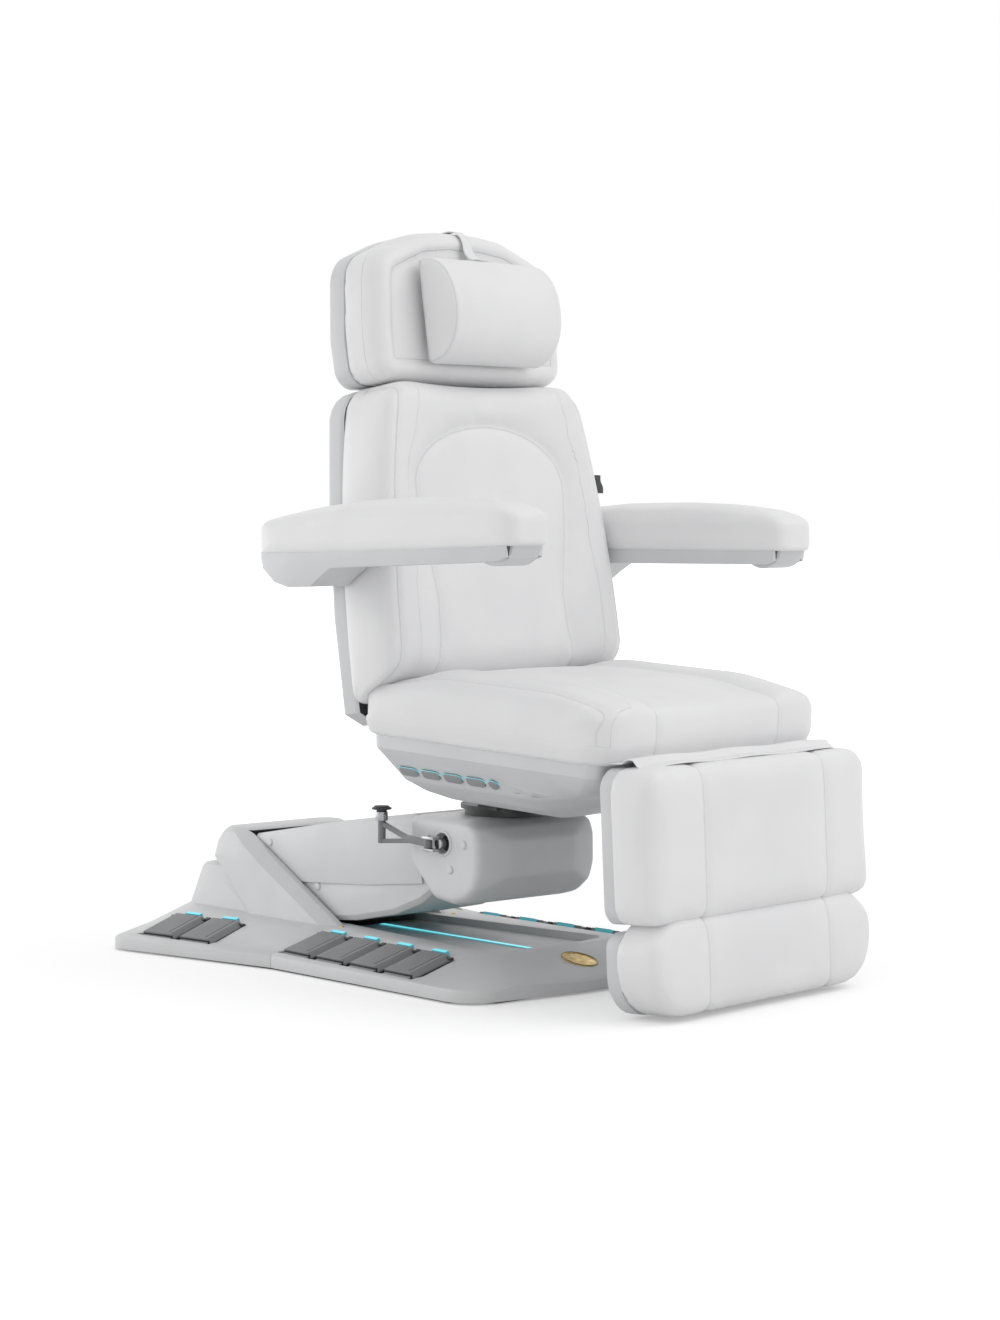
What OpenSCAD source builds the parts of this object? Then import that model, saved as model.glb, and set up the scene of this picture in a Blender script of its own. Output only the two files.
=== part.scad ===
/* [Base] */
// From the swivel axis forward to the base's front lip
base_front = 307; // [290:1:330]
// From the swivel axis back to the base's rear tip
base_rear = 985; // [960:1:1020]
// From the swivel axis back to the seam between the two base covers
seam_y = 294; // [285:1:300]
// Half width of the base at the seam
seam_half = 335; // [325:1:345]
// Half width of the front cover's lip
front_half = 341; // [335:1:350]
// Half width of the rear cover's lobes
rear_half = 410; // [400:1:425]
// Height of the lip
lip_h = 26; // [22:1:30]
// Height of the raised deck
deck_h = 62; // [58:1:66]
// Half width of the front deck, where the slope to the pedals starts
deck_half = 185; // [180:1:190]
// Half width of the front slope's foot
slope_foot_half = 292; // [288:1:300]
// Height of the slope's foot
slope_foot_h = 30; // [28:1:33]
// Wall of the moulded covers
cover_wall = 4; // [3:0.5:5]
// Thickness of the steel base plate
plate_t = 6; // [5:0.5:6.5]
// How far the base plate lies inside the covers' lip
plate_inset = 14; // [10:1:20]
// Depth of the tray in the deck
tray_depth = 14; // [10:1:16]
// Length of the light strip in the tray
strip_len = 440; // [400:5:460]
// Width of the light strip
strip_w = 13; // [8:1:20]

/* [Pedals] */
// Distance between neighbouring pedals
pedal_pitch = 105; // [103:1:110]
// Width of one pedal across its skirt
pedal_w = 86; // [80:1:88]
// Length of one pedal from its inner end to its outer end
pedal_len = 94; // [88:1:96]
// Thickness of one pedal
pedal_t = 11; // [10:1:12]
// How far a pedal stands proud of the slope
pedal_proud = 6; // [4:0.5:7]
// Radius of the pedals' hinge rods
pedal_rod_r = 3; // [2.5:0.25:3.5]
// Number of pedals on each side of the front cover
front_pedals = 4; // [4:1:4]
// Number of pedals on each side of the rear cover
rear_pedals = 2; // [2:1:2]

/* [Lift arm] */
// Distance between the pivots of one link
link_len = 570; // [560:1:580]
// Height of the upper rear pivot
tower_pivot_z = 180; // [178:1:184]
// Distance behind the swivel axis of the rear pivots
tower_pivot_y = 600; // [598:1:604]
// Vertical distance between the upper and lower pivots
link_gap = 75; // [73:1:78]
// Slope of the links at rest, in degrees
link_angle = 9; // [8:0.5:10]
// Radius of the link pivots
link_pin_r = 10; // [8:0.5:11]
// Half width of the upper arm cover
arm_half = 124; // [122:0.5:125]
// Height of the arm cover's roof above the upper pivots
arm_roof = 43; // [41:1:43]

/* [Head] */
// Half width of the head housing
head_half = 151; // [148:1:156]
// Height of the head housing's top
head_top = 300; // [299:1:302]
// Radius of the swivel bearing
bearing_r = 78; // [70:1:84]
// Thickness of the swivel bearing
bearing_t = 11.7; // [10:0.1:13]
// Radius of the swivel spigot
spigot_r = 25; // [20:1:30]

/* [Swivel] */
// How far the chair is turned on its base at rest, in degrees
swivel_rest = 6.6; // [-15:0.1:15]

/* [Seat] */
// Half width of the seat cushion
seat_half = 312; // [305:1:318]
// From the swivel axis forward to the seat cushion's front
seat_front = 505; // [500:1:508]
// From the swivel axis back to the seat cushion's rear
seat_rear = 60; // [55:1:62]
// Height of the line between shell and cushion above the swivel axis
seat_rim_z = 468; // [465:1:471]
// Slope of that line, down to the front, in degrees
seat_slope = 3.2; // [2.5:0.1:4]
// Thickness of the seat cushion at its edges
seat_cushion_t = 110; // [104:1:114]
// Depth of the seat shell's bowl
bowl_depth = 128; // [122:1:132]
// Wall of the upholstery shells
shell_wall = 4; // [3:0.5:5]

/* [Back] */
// Distance of the recline hinge behind the swivel axis
recline_y = 75; // [74:1:78]
// Height of the recline hinge
recline_z = 485; // [483:1:488]
// Lean of the backrest at rest, in degrees
back_lean = 8; // [7:0.5:9]
// Length of the backrest above its hinge
back_len = 621; // [610:1:630]
// Half width of the backrest at its top
back_top_half = 272; // [265:1:278]
// Half width of the backrest at its bottom
back_low_half = 326; // [320:1:332]
// Thickness of the backrest cushion
back_cushion_t = 104; // [98:1:110]
// Thickness of the backrest shell
back_shell_t = 41; // [38:1:44]

/* [Headrest] */
// Height of the headrest
headrest_h = 293; // [280:1:300]
// Half width of the headrest at its bottom
headrest_half = 264; // [255:1:268]
// Gap between backrest and headrest
headrest_gap = 5; // [4:0.5:8]
// Half width of the neck pillow
pillow_half = 154; // [145:1:160]
// Height of the neck pillow
pillow_h = 195; // [185:1:200]
// Width of the pillow's strap
strap_w = 24; // [20:1:30]

/* [Armrests] */
// Inner half distance between the armrests
armrest_in = 332; // [331:1:336]
// Width of one armrest
armrest_w = 102; // [96:1:108]
// Distance of an armrest's front end ahead of the swivel axis
armrest_front = 390; // [380:1:400]
// Distance of an armrest's rear end behind the swivel axis
armrest_rear = 222; // [216:1:226]
// Height of the line between armrest pad and armrest shell
armrest_z = 803; // [800:1:806]
// Height of the armrest hinge
armrest_pivot_z = 772; // [771:1:774]
// Distance of the armrest hinge behind the swivel axis
armrest_pivot_y = 130; // [128:1:132]
// Radius of the armrest hinge pins
armrest_pin_r = 9; // [8:0.5:10]
// How far the right armrest is raised at rest, in degrees
right_arm_tilt = 2; // [0:0.5:3]

/* [Leg rest] */
// Half width of the leg rest
leg_half = 315; // [308:1:320]
// Distance of the leg rest hinge ahead of the seat cushion's front
leg_hinge_ahead = 17; // [16:1:21]
// Height of the leg rest hinge
leg_pivot_z = 424.5; // [423:0.5:425]
// Forward tilt of the leg rest at rest, in degrees
leg_tilt = 3; // [2.5:0.5:3.5]
// Length of the leg rest below its hinge
leg_len = 259; // [254:1:262]
// Gap between leg rest and footrest
foot_gap = 12; // [8:1:14]
// Length of the footrest
foot_len = 148; // [140:1:148]
// Thickness of the leg rest's cushion
leg_cushion_t = 88; // [82:1:94]
// Thickness of the leg rest's shell
leg_shell_t = 32; // [30:1:34]

/* [Hidden] */
$fn = 32;

layer = 0.01;          // thickness of the thin slices that a hull joins
leg_pivot_y = seat_front + leg_hinge_ahead;
leg_top = 12.5;        // how far the leg rest reaches above its hinge
run = 0.05;            // radial running clearance of a shaft in its bore
seat_gap = 0.3;        // clearance between parts of different bodies that lie together

cover_white = "#d9dadb";
pedal_grey = "#8d9093";
steel_grey = "#5a5d60";
leather_white = "#f4f4f4";
glow_cyan = "#5fd9e6";
black = "#1c1c1e";

// ---------- shared shapes ----------

// Rounded rectangle from x = -half to half and from y = y0 to y1, with true arcs
module plan(half, y0, y1, r) {
    translate([-half, y0 + r]) square([2 * half, y1 - y0 - 2 * r]);
    translate([-half + r, y0]) square([2 * (half - r), y1 - y0]);
    for (x = [-half + r, half - r], y = [y0 + r, y1 - r]) translate([x, y]) circle(r);
}

// Thin slice of that rectangle at a height, for hulls
module slice(half, y0, y1, r, z) {
    translate([0, 0, z]) linear_extrude(layer) plan(half, y0, y1, r);
}

// Outline in the YZ plane, extruded along X from x0 to x1
module side_plate(x0, x1, points) {
    translate([x0, 0, 0]) rotate([90, 0, 90]) linear_extrude(x1 - x0) polygon(points);
}

// Cylinder along X from x0 to x1, through y and z
module rod_x(x0, x1, y, z, r) {
    translate([x0, y, z]) rotate([0, 90, 0]) cylinder(r = r, h = x1 - x0);
}

// Both mirrored copies about X = 0
module both_sides() {
    children();
    mirror([1, 0, 0]) children();
}

// Everything above the swivel turns with it
module swivelled() { rotate([0, 0, swivel_rest]) children(); }

// ---------- base ----------

lip_z = 4;                       // underside of the covers' lip
front_corner_r = 70;
front_bow = 22;                  // how far the front lip bows forward between its corners
tray_z = deck_h - tray_depth;
tray_rear_half = 100;
tray_front_half = 150;
tray_front_y = -120;
mouth_y = 385;                   // front edge of the opening in which the arm moves
mouth_half = arm_half + 3;
mouth_rear = 704;
deck_front = -155;
seam_in = seam_y + 28;           // the seam steps back round the first pedals
seam_step = 312;                 // half width at which it steps

module front_outline(inset) {
    corner_x = front_half - front_corner_r;
    hull() {
        for (x = [-corner_x, corner_x])
            translate([x, -base_front + front_bow + front_corner_r]) circle(front_corner_r - inset);
        translate([-90, -base_front + inset]) square([180, 40]);
        translate([-seam_half + inset, seam_in]) square([2 * (seam_half - inset), 2]);
    }
}

// Everything behind the seam between the two covers
module behind_seam(shift) {
    y0 = seam_y + shift;
    y1 = seam_in + shift;
    translate([0, 0, -10]) linear_extrude(300) polygon([
        [-600, y0], [-seam_half - 5, y0], [-seam_step, y1], [seam_step, y1], [seam_half + 5, y0], [600, y0],
        [600, 1200], [-600, 1200]
    ]);
}

module rear_outline(inset) {
    lobe_r = 60;
    tip_r = 90;
    hull() {
        for (x = [-rear_half + lobe_r, rear_half - lobe_r]) translate([x, 690]) circle(lobe_r - inset);
        translate([0, base_rear - tip_r]) circle(tip_r - inset);
        translate([-seam_half + inset, seam_y]) square([2 * (seam_half - inset), 1]);
    }
}

module base_plate() {
    p = plate_inset;
    color(steel_grey) linear_extrude(plate_t) polygon([
        [-front_half + p + 60, -base_front + front_bow + p],
        [front_half - p - 60, -base_front + front_bow + p],
        [front_half - p, -base_front + front_bow + p + 60], [seam_half - p, seam_y],
        [rear_half - p - 8, 670], [rear_half - p - 40, 722],
        [60, base_rear - p - 20], [-60, base_rear - p - 20],
        [-rear_half + p + 40, 722], [-rear_half + p + 8, 670],
        [-seam_half + p, seam_y], [-front_half + p, -base_front + front_bow + p + 60]
    ]);
}

// Pedal rows: each starts at its first pedal's inner end and runs forward
pedal_slope = atan((deck_h - slope_foot_h) / (slope_foot_half - deck_half));
front_row = [199, 262, 2.2];     // inner end X, first pedal Y, splay in degrees
rear_row = [254, 658, -7.7];
recess_depth = 15;
recess_wall = 3;
recess_in = 4;
recess_out = 112;
recess_end = 8;                  // recess length past the last pedals

module row_space(row) {
    translate([row[0], row[1], deck_h - (row[0] - deck_half) * tan(pedal_slope)])
        rotate([0, 0, row[2]]) rotate([0, pedal_slope, 0]) children();
}
// The rear slope starts further out, by how much its row lies outside the front row
rear_shift = rear_row[0] - front_row[0];
module rear_space(row) {
    translate([row[0], row[1], deck_h - (front_row[0] - deck_half) * tan(pedal_slope)])
        rotate([0, 0, row[2]]) rotate([0, pedal_slope, 0]) children();
}

module row_recess(count, grow) {
    length = (count - 1) * pedal_pitch + pedal_w + 2 * recess_end;
    translate([recess_in - grow, -length + pedal_w / 2 + recess_end - grow, -recess_depth - grow])
        cube([recess_out - recess_in + 2 * grow, length + 2 * grow, 60]);
}

light_len = 40;
light_w = 9;
light_t = 3;
module pedal_light(index, grow) {
    translate([-light_w + 2 - grow, -index * pedal_pitch - light_len / 2 - grow, -light_t + 0.5])
        cube([light_w + 2 * grow, light_len + 2 * grow, light_t + pedal_proud - 0.5 + (grow > 0 ? 5 : 0)]);
}

// Plan with rounded front corners that ends square at the seam
module bay(half, front, r) {
    translate([-half, front + r]) square([2 * half, seam_in + 2 - front - r]);
    translate([-half + r, front]) square([2 * (half - r), r + 1]);
    for (x = [-half + r, half - r]) translate([x, front + r]) circle(r);
}

module front_shape(inset) {
    low = inset > 0 ? -2 : lip_z;
    foot_y = -base_front + 15 + inset;
    translate([0, 0, low]) linear_extrude(lip_h - 3 - inset - low) front_outline(inset);
    hull() {
        translate([0, 0, lip_h - 4 - inset]) linear_extrude(layer) front_outline(inset);
        translate([0, 0, lip_h - inset]) linear_extrude(layer) front_outline(4 + inset);
        translate([0, 0, slope_foot_h - inset]) linear_extrude(layer) bay(slope_foot_half - inset, foot_y, 60);
    }
    hull() {
        translate([0, 0, slope_foot_h - 10 - inset]) linear_extrude(layer) bay(slope_foot_half - inset, foot_y, 60);
        translate([0, 0, slope_foot_h - inset]) linear_extrude(layer) bay(slope_foot_half - inset, foot_y, 60);
        translate([0, 0, deck_h - inset]) linear_extrude(layer) bay(deck_half - inset, deck_front + inset, 40);
    }
}

// The tray's room, or with grow the room and its walls and floor
module tray_cut(grow) {
    g = grow;
    translate([0, 0, tray_z - grow]) linear_extrude(60) polygon([
        [-tray_front_half + 20 - g, tray_front_y - g], [-60, tray_front_y - 14 - g], [60, tray_front_y - 14 - g],
        [tray_front_half - 20 + g, tray_front_y - g], [tray_front_half + g, tray_front_y + 20],
        [tray_rear_half + g, mouth_y], [-tray_rear_half - g, mouth_y], [-tray_front_half - g, tray_front_y + 20]
    ]);
}

module front_base_cover() {
    color(cover_white) difference() {
        front_shape(0);
        difference() {
            front_shape(cover_wall);
            tray_cut(cover_wall);
            both_sides() row_space(front_row) row_recess(front_pedals, recess_wall);
        }
        tray_cut(0);
        both_sides() row_space(front_row) {
            row_recess(front_pedals, 0);
            for (i = [0 : front_pedals - 1]) pedal_light(i, 0.2);
        }
        strip_groove();
        behind_seam(-0.25);
    }
}

strip_rear = 370;
strip_sink = 1.2;
module strip_groove() {
    translate([-strip_w / 2 - 0.2, strip_rear - strip_len - 0.2, tray_z - strip_sink])
        cube([strip_w + 0.4, strip_len + 0.4, 20]);
}

hump_half = 162;
hump_foot_y = 334;
hump_top = 228;
hump_front = 640;                // front edge of the hump's top
hump_slant = (hump_front - hump_foot_y) / (hump_top - deck_h);

// One level of the hump: a front bevel and rounded rear corners
module hump_level(z, half, rear, r, inset) {
    front = hump_foot_y + (z - deck_h) * hump_slant;
    translate([0, 0, z - inset]) linear_extrude(layer) {
        translate([-half + 22, front]) square([2 * (half - 22), rear - front - r]);
        translate([-half + inset, front + 36]) square([2 * (half - inset), rear - front - r - 36]);
        for (x = [-half + r, half - r]) translate([x, rear - r]) circle(r - inset);
        translate([-half + r, rear - r]) square([2 * (half - r), r - inset]);
    }
}

module hump_shape(inset) {
    hull() {
        hump_level(50, hump_half, 600, 20, inset);
        hump_level(168, hump_half, 755, 65, inset);
        hump_level(200, hump_half - 5, 744, 60, inset);
        hump_level(hump_top - 8, hump_half - 14, 730, 52, inset);
        hump_level(hump_top, hump_half - 26, 716, 34, inset);
    }
    hull() {
        slice(150 - inset, 500, 870 - inset, 80, 50 - inset);
        slice(143 - inset, 610, 822 - inset, 65, 138 - inset);
        slice(140 - inset, 620, 812 - inset, 60, 145 - inset);
        slice(132 - inset, 640, 782 - inset, 60, 151 - inset);
    }
}

module rear_shape(inset) {
    low = inset > 0 ? -2 : lip_z;
    translate([0, 0, low]) linear_extrude(lip_h - 3 - inset - low) rear_outline(inset);
    hull() {
        translate([0, 0, lip_h - 4 - inset]) linear_extrude(layer) rear_outline(inset);
        translate([0, 0, lip_h - inset]) linear_extrude(layer) rear_outline(4 + inset);
        translate([0, 0, slope_foot_h - inset]) linear_extrude(layer) rear_outline(48 + inset);
    }
    hull() {
        translate([0, 0, slope_foot_h - 10 - inset]) linear_extrude(layer) rear_deck(slope_foot_half, inset);
        translate([0, 0, slope_foot_h - inset]) linear_extrude(layer) rear_deck(slope_foot_half, inset);
        translate([0, 0, deck_h - inset]) linear_extrude(layer) rear_deck(deck_half, inset);
    }
    hump_shape(inset);
}

// The rear deck follows the rear pedal rows outwards, then closes behind the hump
module rear_deck(half, inset) {
    grow = half - deck_half;
    polygon([
        [-half + inset, seam_in - 2], [half - inset, seam_in - 2],
        [half + rear_shift + 6 - inset, 690 + grow * 0.2], [half + rear_shift - 20 - inset, 720 + grow * 0.3],
        [70, 880 + grow * 0.45 - inset], [-70, 880 + grow * 0.45 - inset],
        [-half - rear_shift + 20 + inset, 720 + grow * 0.3], [-half - rear_shift - 6 + inset, 690 + grow * 0.2]
    ]);
}

module rear_base_cover() {
    mouth_wall = mouth_half + cover_wall;
    color(cover_white) difference() {
        rear_shape(0);
        difference() {
            rear_shape(cover_wall);
            tray_cut(cover_wall);
            both_sides() rear_space(rear_row) row_recess(rear_pedals, recess_wall);
            // walls round the arm's opening and beside its way in
            translate([-mouth_wall, mouth_y - cover_wall, plate_t])
                cube([2 * mouth_wall, mouth_rear - mouth_y + 2 * cover_wall, 250]);
            translate([-mouth_wall, seam_y, deck_h - cover_wall]) cube([2 * mouth_wall, mouth_y - seam_y, 200]);
        }
        tray_cut(0);
        strip_groove();
        both_sides() rear_space(rear_row) {
            row_recess(rear_pedals, 0);
            for (i = [0 : rear_pedals - 1]) pedal_light(i, 0.2);
        }
        // the arm's opening, closed above by the hump's roof
        translate([-mouth_half, mouth_y, -10])
            cube([2 * mouth_half, mouth_rear - mouth_y, hump_top - cover_wall + 10]);
        translate([-mouth_half, hump_foot_y - 30, deck_h])
            cube([2 * mouth_half, mouth_y - hump_foot_y + 31, 160]);
        difference() {
            translate([-500, 0, -20]) cube([1000, seam_in + 10, 300]);
            behind_seam(0);
        }
        // window of the mains inlet
        translate([-15, box_y + box_len - 6, inlet_z - 11]) cube([30, 80, 22]);
    }
}

inlet_z = 90;
box_half = 95;
box_len = 90;
box_y = mouth_rear + 12;
module control_box() {
    color(black) difference() {
        union() {
            translate([-box_half, box_y, plate_t]) cube([2 * box_half, box_len, 62]);
            translate([-30, box_y + box_len - 16, plate_t + 61]) cube([60, 40, 38]);
            translate([-14.7, box_y + box_len + 23, inlet_z - 10.7]) cube([29.4, 19, 21.4]);
        }
        translate([-11, box_y + box_len + 30, inlet_z - 7]) cube([22, 20, 14]);
    }
}

cheek_x = 50;
cheek_t = 10;
motor_pivot_y = 560;
motor_pivot_z = 50;
motor_pin_r = 8;
module tower_frame() {
    color(steel_grey) {
        both_sides() side_plate(cheek_x, cheek_x + cheek_t, [
            [520, plate_t], [680, plate_t], [665, 60], [632, 195], [620, 203], [580, 203], [570, 190], [520, 40]
        ]);
        both_sides() translate([28, motor_pivot_y - 20, plate_t])
            cube([cheek_x - 28, 40, motor_pivot_z - plate_t + 12]);
        rod_x(-30, 30, motor_pivot_y, motor_pivot_z, motor_pin_r);
        rod_x(-96, 96, tower_pivot_y, tower_pivot_z, link_pin_r);
        rod_x(-96, 96, tower_pivot_y, tower_pivot_z - link_gap, link_pin_r);
    }
}

module base_lights() {
    color(glow_cyan) {
        translate([-strip_w / 2, strip_rear - strip_len, tray_z - strip_sink]) cube([strip_w, strip_len, 3]);
        both_sides() row_space(front_row) for (i = [0 : front_pedals - 1]) pedal_light(i, 0);
        both_sides() rear_space(rear_row) for (i = [0 : rear_pedals - 1]) pedal_light(i, 0);
    }
}

hinge_x = 11;                    // hinge rod behind the pedal's inner end
hinge_z = pedal_proud - pedal_t / 2;
pedal_in = 6;
bracket_w = 11;
module row_hinges(count) {
    last = -(count - 1) * pedal_pitch;
    reach = pedal_w / 2 + recess_end;
    translate([hinge_x, reach, hinge_z]) rotate([90, 0, 0])
        cylinder(r = pedal_rod_r, h = reach - last + reach);
    for (i = [1 : count - 1]) {
        y = -(i - 0.5) * pedal_pitch - bracket_w / 2;
        translate([hinge_x - 5, y, -recess_depth]) cube([10, bracket_w, recess_depth + hinge_z + 5]);
        translate([hinge_x - 5, y, -recess_depth]) cube([recess_out - hinge_x + 3, bracket_w, 3]);
        translate([recess_out - 12, y, -recess_depth]) cube([10, bracket_w, recess_depth - 4]);
    }
}

module pedal_hinges() {
    color(black) {
        both_sides() row_space(front_row) row_hinges(front_pedals);
        both_sides() rear_space(rear_row) row_hinges(rear_pedals);
    }
}

pedal_bevel = 11;
rib_w = 2.5;
// One pedal, bevelled along its front side, with a moulded rib line and its hinge bore
module pedal(index) {
    half = pedal_w / 2;
    color(pedal_grey) translate([0, -index * pedal_pitch, 0]) difference() {
        translate([pedal_in, 0, 0]) rotate([90, 0, 90]) linear_extrude(pedal_len) polygon([
            [-half, pedal_proud - pedal_t], [half, pedal_proud - pedal_t], [half, pedal_proud - 1.5],
            [half - 1.5, pedal_proud], [-half + pedal_bevel, pedal_proud], [-half, pedal_proud - pedal_t + 3]
        ]);
        translate([pedal_in - 1, -half + pedal_bevel + 9, pedal_proud - 1.2]) cube([pedal_len - 8, rib_w, 5]);
        translate([hinge_x, half + 1, hinge_z]) rotate([90, 0, 0]) cylinder(r = pedal_rod_r + run, h = pedal_w + 2);
    }
}

module right_pedal(index) { mirror([1, 0, 0]) row_space(front_row) pedal(index); }
module left_pedal(index) { row_space(front_row) pedal(index); }
module rear_right_pedal(index) { mirror([1, 0, 0]) rear_space(rear_row) pedal(index); }
module rear_left_pedal(index) { rear_space(rear_row) pedal(index); }

// ---------- lift arm ----------

// Frame of the upper links: origin at the rear pivot, the front pivot at y = -link_len
module link_space(z) {
    translate([0, tower_pivot_y, z]) rotate([-link_angle, 0, 0]) children();
}
module upper_link_space() { link_space(tower_pivot_z) children(); }
module lower_link_space() { link_space(tower_pivot_z - link_gap) children(); }

link_x = 80;
link_t = 12;
link_eye_r = 19;
eye_y = 382;                     // where the lift motor pushes on the upper links
eye_pin_r = 8;
cover_t = 3;

module link_pair() {
    both_sides() difference() {
        union() {
            translate([link_x, -link_len, -14]) cube([link_t, link_len, 28]);
            rod_x(link_x, link_x + link_t, 0, 0, link_eye_r);
            rod_x(link_x, link_x + link_t, -link_len, 0, link_eye_r);
        }
        rod_x(link_x - 1, link_x + link_t + 1, 0, 0, link_pin_r + run);
        rod_x(link_x - 1, link_x + link_t + 1, -link_len, 0, link_pin_r + run);
    }
}

module upper_link() {
    color(steel_grey) upper_link_space() {
        link_pair();
        rod_x(-arm_half + cover_t, arm_half - cover_t, -200, 0, 10);
        rod_x(-link_x, link_x, -eye_y, 0, eye_pin_r);
    }
}

module upper_arm_profile(inset) {
    polygon([
        [18, arm_roof - 1 - inset], [-30, arm_roof - inset], [-270, arm_roof + 3 - inset],
        [-480, arm_roof - inset], [-490, arm_roof - 6 - inset],
        [-492, -92], [-330, -84], [-150, -68], [14, -50], [27, 0], [24, 20]
    ]);
}

module upper_arm_cover() {
    chamfer = 9;
    color(cover_white) upper_link_space() difference() {
        hull() {
            rotate([90, 0, 90]) translate([0, 0, -arm_half + chamfer])
                linear_extrude(2 * (arm_half - chamfer)) upper_arm_profile(0);
            rotate([90, 0, 90]) translate([0, 0, -arm_half]) linear_extrude(2 * arm_half) upper_arm_profile(chamfer);
        }
        translate([-arm_half + cover_t, -600, -200]) cube([2 * (arm_half - cover_t), 640, 200 + arm_roof - cover_t - 8]);
        translate([-arm_half + cover_t + 10, -600, 0]) cube([2 * (arm_half - cover_t - 10), 640, arm_roof - cover_t]);
    }
}

lower_cover_half = arm_half - cover_t - 2;
module lower_link() {
    color(steel_grey) lower_link_space() {
        link_pair();
        rod_x(-lower_cover_half + cover_t, lower_cover_half - cover_t, -480, 0, 9);
    }
}

module lower_arm_profile() {
    polygon([
        [-110, 12], [-110, -66], [-200, -72], [-280, -77], [-400, -72], [-480, -56], [-530, -34], [-548, -20],
        [-548, -6], [-500, 12]
    ]);
}

module lower_arm_cover() {
    chamfer = 8;
    half = lower_cover_half;
    color(cover_white) lower_link_space() difference() {
        hull() {
            rotate([90, 0, 90]) translate([0, 0, -half]) linear_extrude(2 * half) polygon([
                [-110, 12], [-110, -56], [-200, -62], [-280, -66], [-400, -61], [-484, -44], [-530, -24],
                [-548, -14], [-548, -6], [-500, 12]
            ]);
            rotate([90, 0, 90]) translate([0, 0, -half + chamfer])
                linear_extrude(2 * (half - chamfer)) lower_arm_profile();
        }
        rotate([90, 0, 90]) translate([0, 0, -half + cover_t]) linear_extrude(2 * (half - cover_t)) polygon([
            [-100, 20], [-100, -51], [-200, -57], [-280, -61], [-400, -57], [-478, -42], [-522, -24], [-560, -15],
            [-560, 20]
        ]);
        // notch that clears the lift motor
        translate([-52, -150, -120]) cube([104, 60, 110]);
    }
}

motor_r = 25;
rod_r = 11;
motor_dy = motor_pivot_y - tower_pivot_y + eye_y * cos(link_angle);
motor_dz = tower_pivot_z + eye_y * sin(link_angle) - motor_pivot_z;
motor_reach = sqrt(motor_dy * motor_dy + motor_dz * motor_dz);
motor_angle = atan2(motor_dz, motor_dy);
tube_len = 268;
// Frame of the lift motor: origin at its pivot, the rod runs along +X
module motor_space() {
    translate([0, motor_pivot_y, motor_pivot_z]) rotate([0, 0, -90]) rotate([0, -motor_angle, 0]) children();
}

module lift_motor() {
    color(black) motor_space() difference() {
        union() {
            rotate([0, 90, 0]) translate([0, 0, 30]) cylinder(r = motor_r, h = tube_len - 30);
            translate([-15, -20, -15]) cube([60, 40, 30]);
            translate([30, -45, -22]) cube([75, 40, 44]);
        }
        translate([0, -30, 0]) rotate([-90, 0, 0]) cylinder(r = motor_pin_r + run, h = 60);
        rotate([0, 90, 0]) translate([0, 0, 120]) cylinder(r = rod_r + run, h = 200);
    }
}

open_eye_gap = 6;                // play of the rod's eye on the links' shaft
module lift_rod() {
    color("#c9ccd0") motor_space() difference() {
        union() {
            rotate([0, 90, 0]) translate([0, 0, 130]) cylinder(r = rod_r, h = motor_reach - 130 - 16);
            translate([motor_reach, -12, 0]) rotate([-90, 0, 0]) cylinder(r = eye_pin_r + open_eye_gap + 7, h = 24);
        }
        translate([motor_reach, -20, 0]) rotate([-90, 0, 0]) cylinder(r = eye_pin_r + open_eye_gap, h = 40);
    }
}

// ---------- head ----------

front_pivot_y = tower_pivot_y - link_len * cos(link_angle);
front_pivot_z = tower_pivot_z + link_len * sin(link_angle);
head_wall = 4;
socket_y = 8;
socket_z = 253;
socket_r = 19;
lever_pin_r = 8;

module head_block() {
    color(steel_grey) difference() {
        union() {
            side_plate(-45, 45, [
                [-10, 178], [30, 174], [50, 180], [55, 196], [68, 232], [68, head_top - head_wall],
                [-30, head_top - head_wall], [-30, 215]
            ]);
            rod_x(-96, 96, front_pivot_y, front_pivot_z, link_pin_r);
            rod_x(-96, 96, front_pivot_y, front_pivot_z - link_gap, link_pin_r);
            translate([0, 0, 240]) cylinder(r = 44, h = head_top - 240);
        }
        translate([0, 0, 230]) cylinder(r = spigot_r + run, h = 100);
    }
}

module head_profile(inset) {
    polygon([
        [105, head_top - inset], [-55 + inset, head_top - inset], [-84 + inset, 286], [-94 + inset, 262],
        [-94 + inset, 204], [-83 + inset, 172], [-54 + inset / 2, 146 + inset], [-18, 136 + inset],
        [38, 143 + inset], [105 - inset / 2, 212]
    ]);
}

module head_housing() {
    room = arm_half + 4;
    color(cover_white) difference() {
        hull() {
            rotate([90, 0, 90]) translate([0, 0, -head_half]) linear_extrude(2 * head_half) head_profile(12);
            rotate([90, 0, 90]) translate([0, 0, -head_half + 6]) linear_extrude(2 * head_half - 12) head_profile(4);
            rotate([90, 0, 90]) translate([0, 0, -head_half + 20]) linear_extrude(2 * head_half - 40) head_profile(0);
            translate([-80, -106, 195]) cube([160, 20, 66]);
        }
        // room for the links and the arm covers, open to the rear and below
        translate([-room, -14, 0]) cube([2 * room, 200, head_top - head_wall]);
        // hollow nose
        side_plate(-room, room, [
            [0, head_top - head_wall], [-54, head_top - head_wall], [-80, 282], [-89, 261], [-89, 202],
            [-78, 176], [-50, 156], [-13, 149], [0, 149]
        ]);
        translate([0, 0, head_top - 20]) cylinder(r = 44 + run, h = 40);
        // socket of the lock lever in the right cheek
        rod_x(-head_half - 1, -head_half + 15, socket_y, socket_z, socket_r);
        rod_x(-head_half - 1, -arm_half, socket_y, socket_z, lever_pin_r + run);
    }
}

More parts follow.
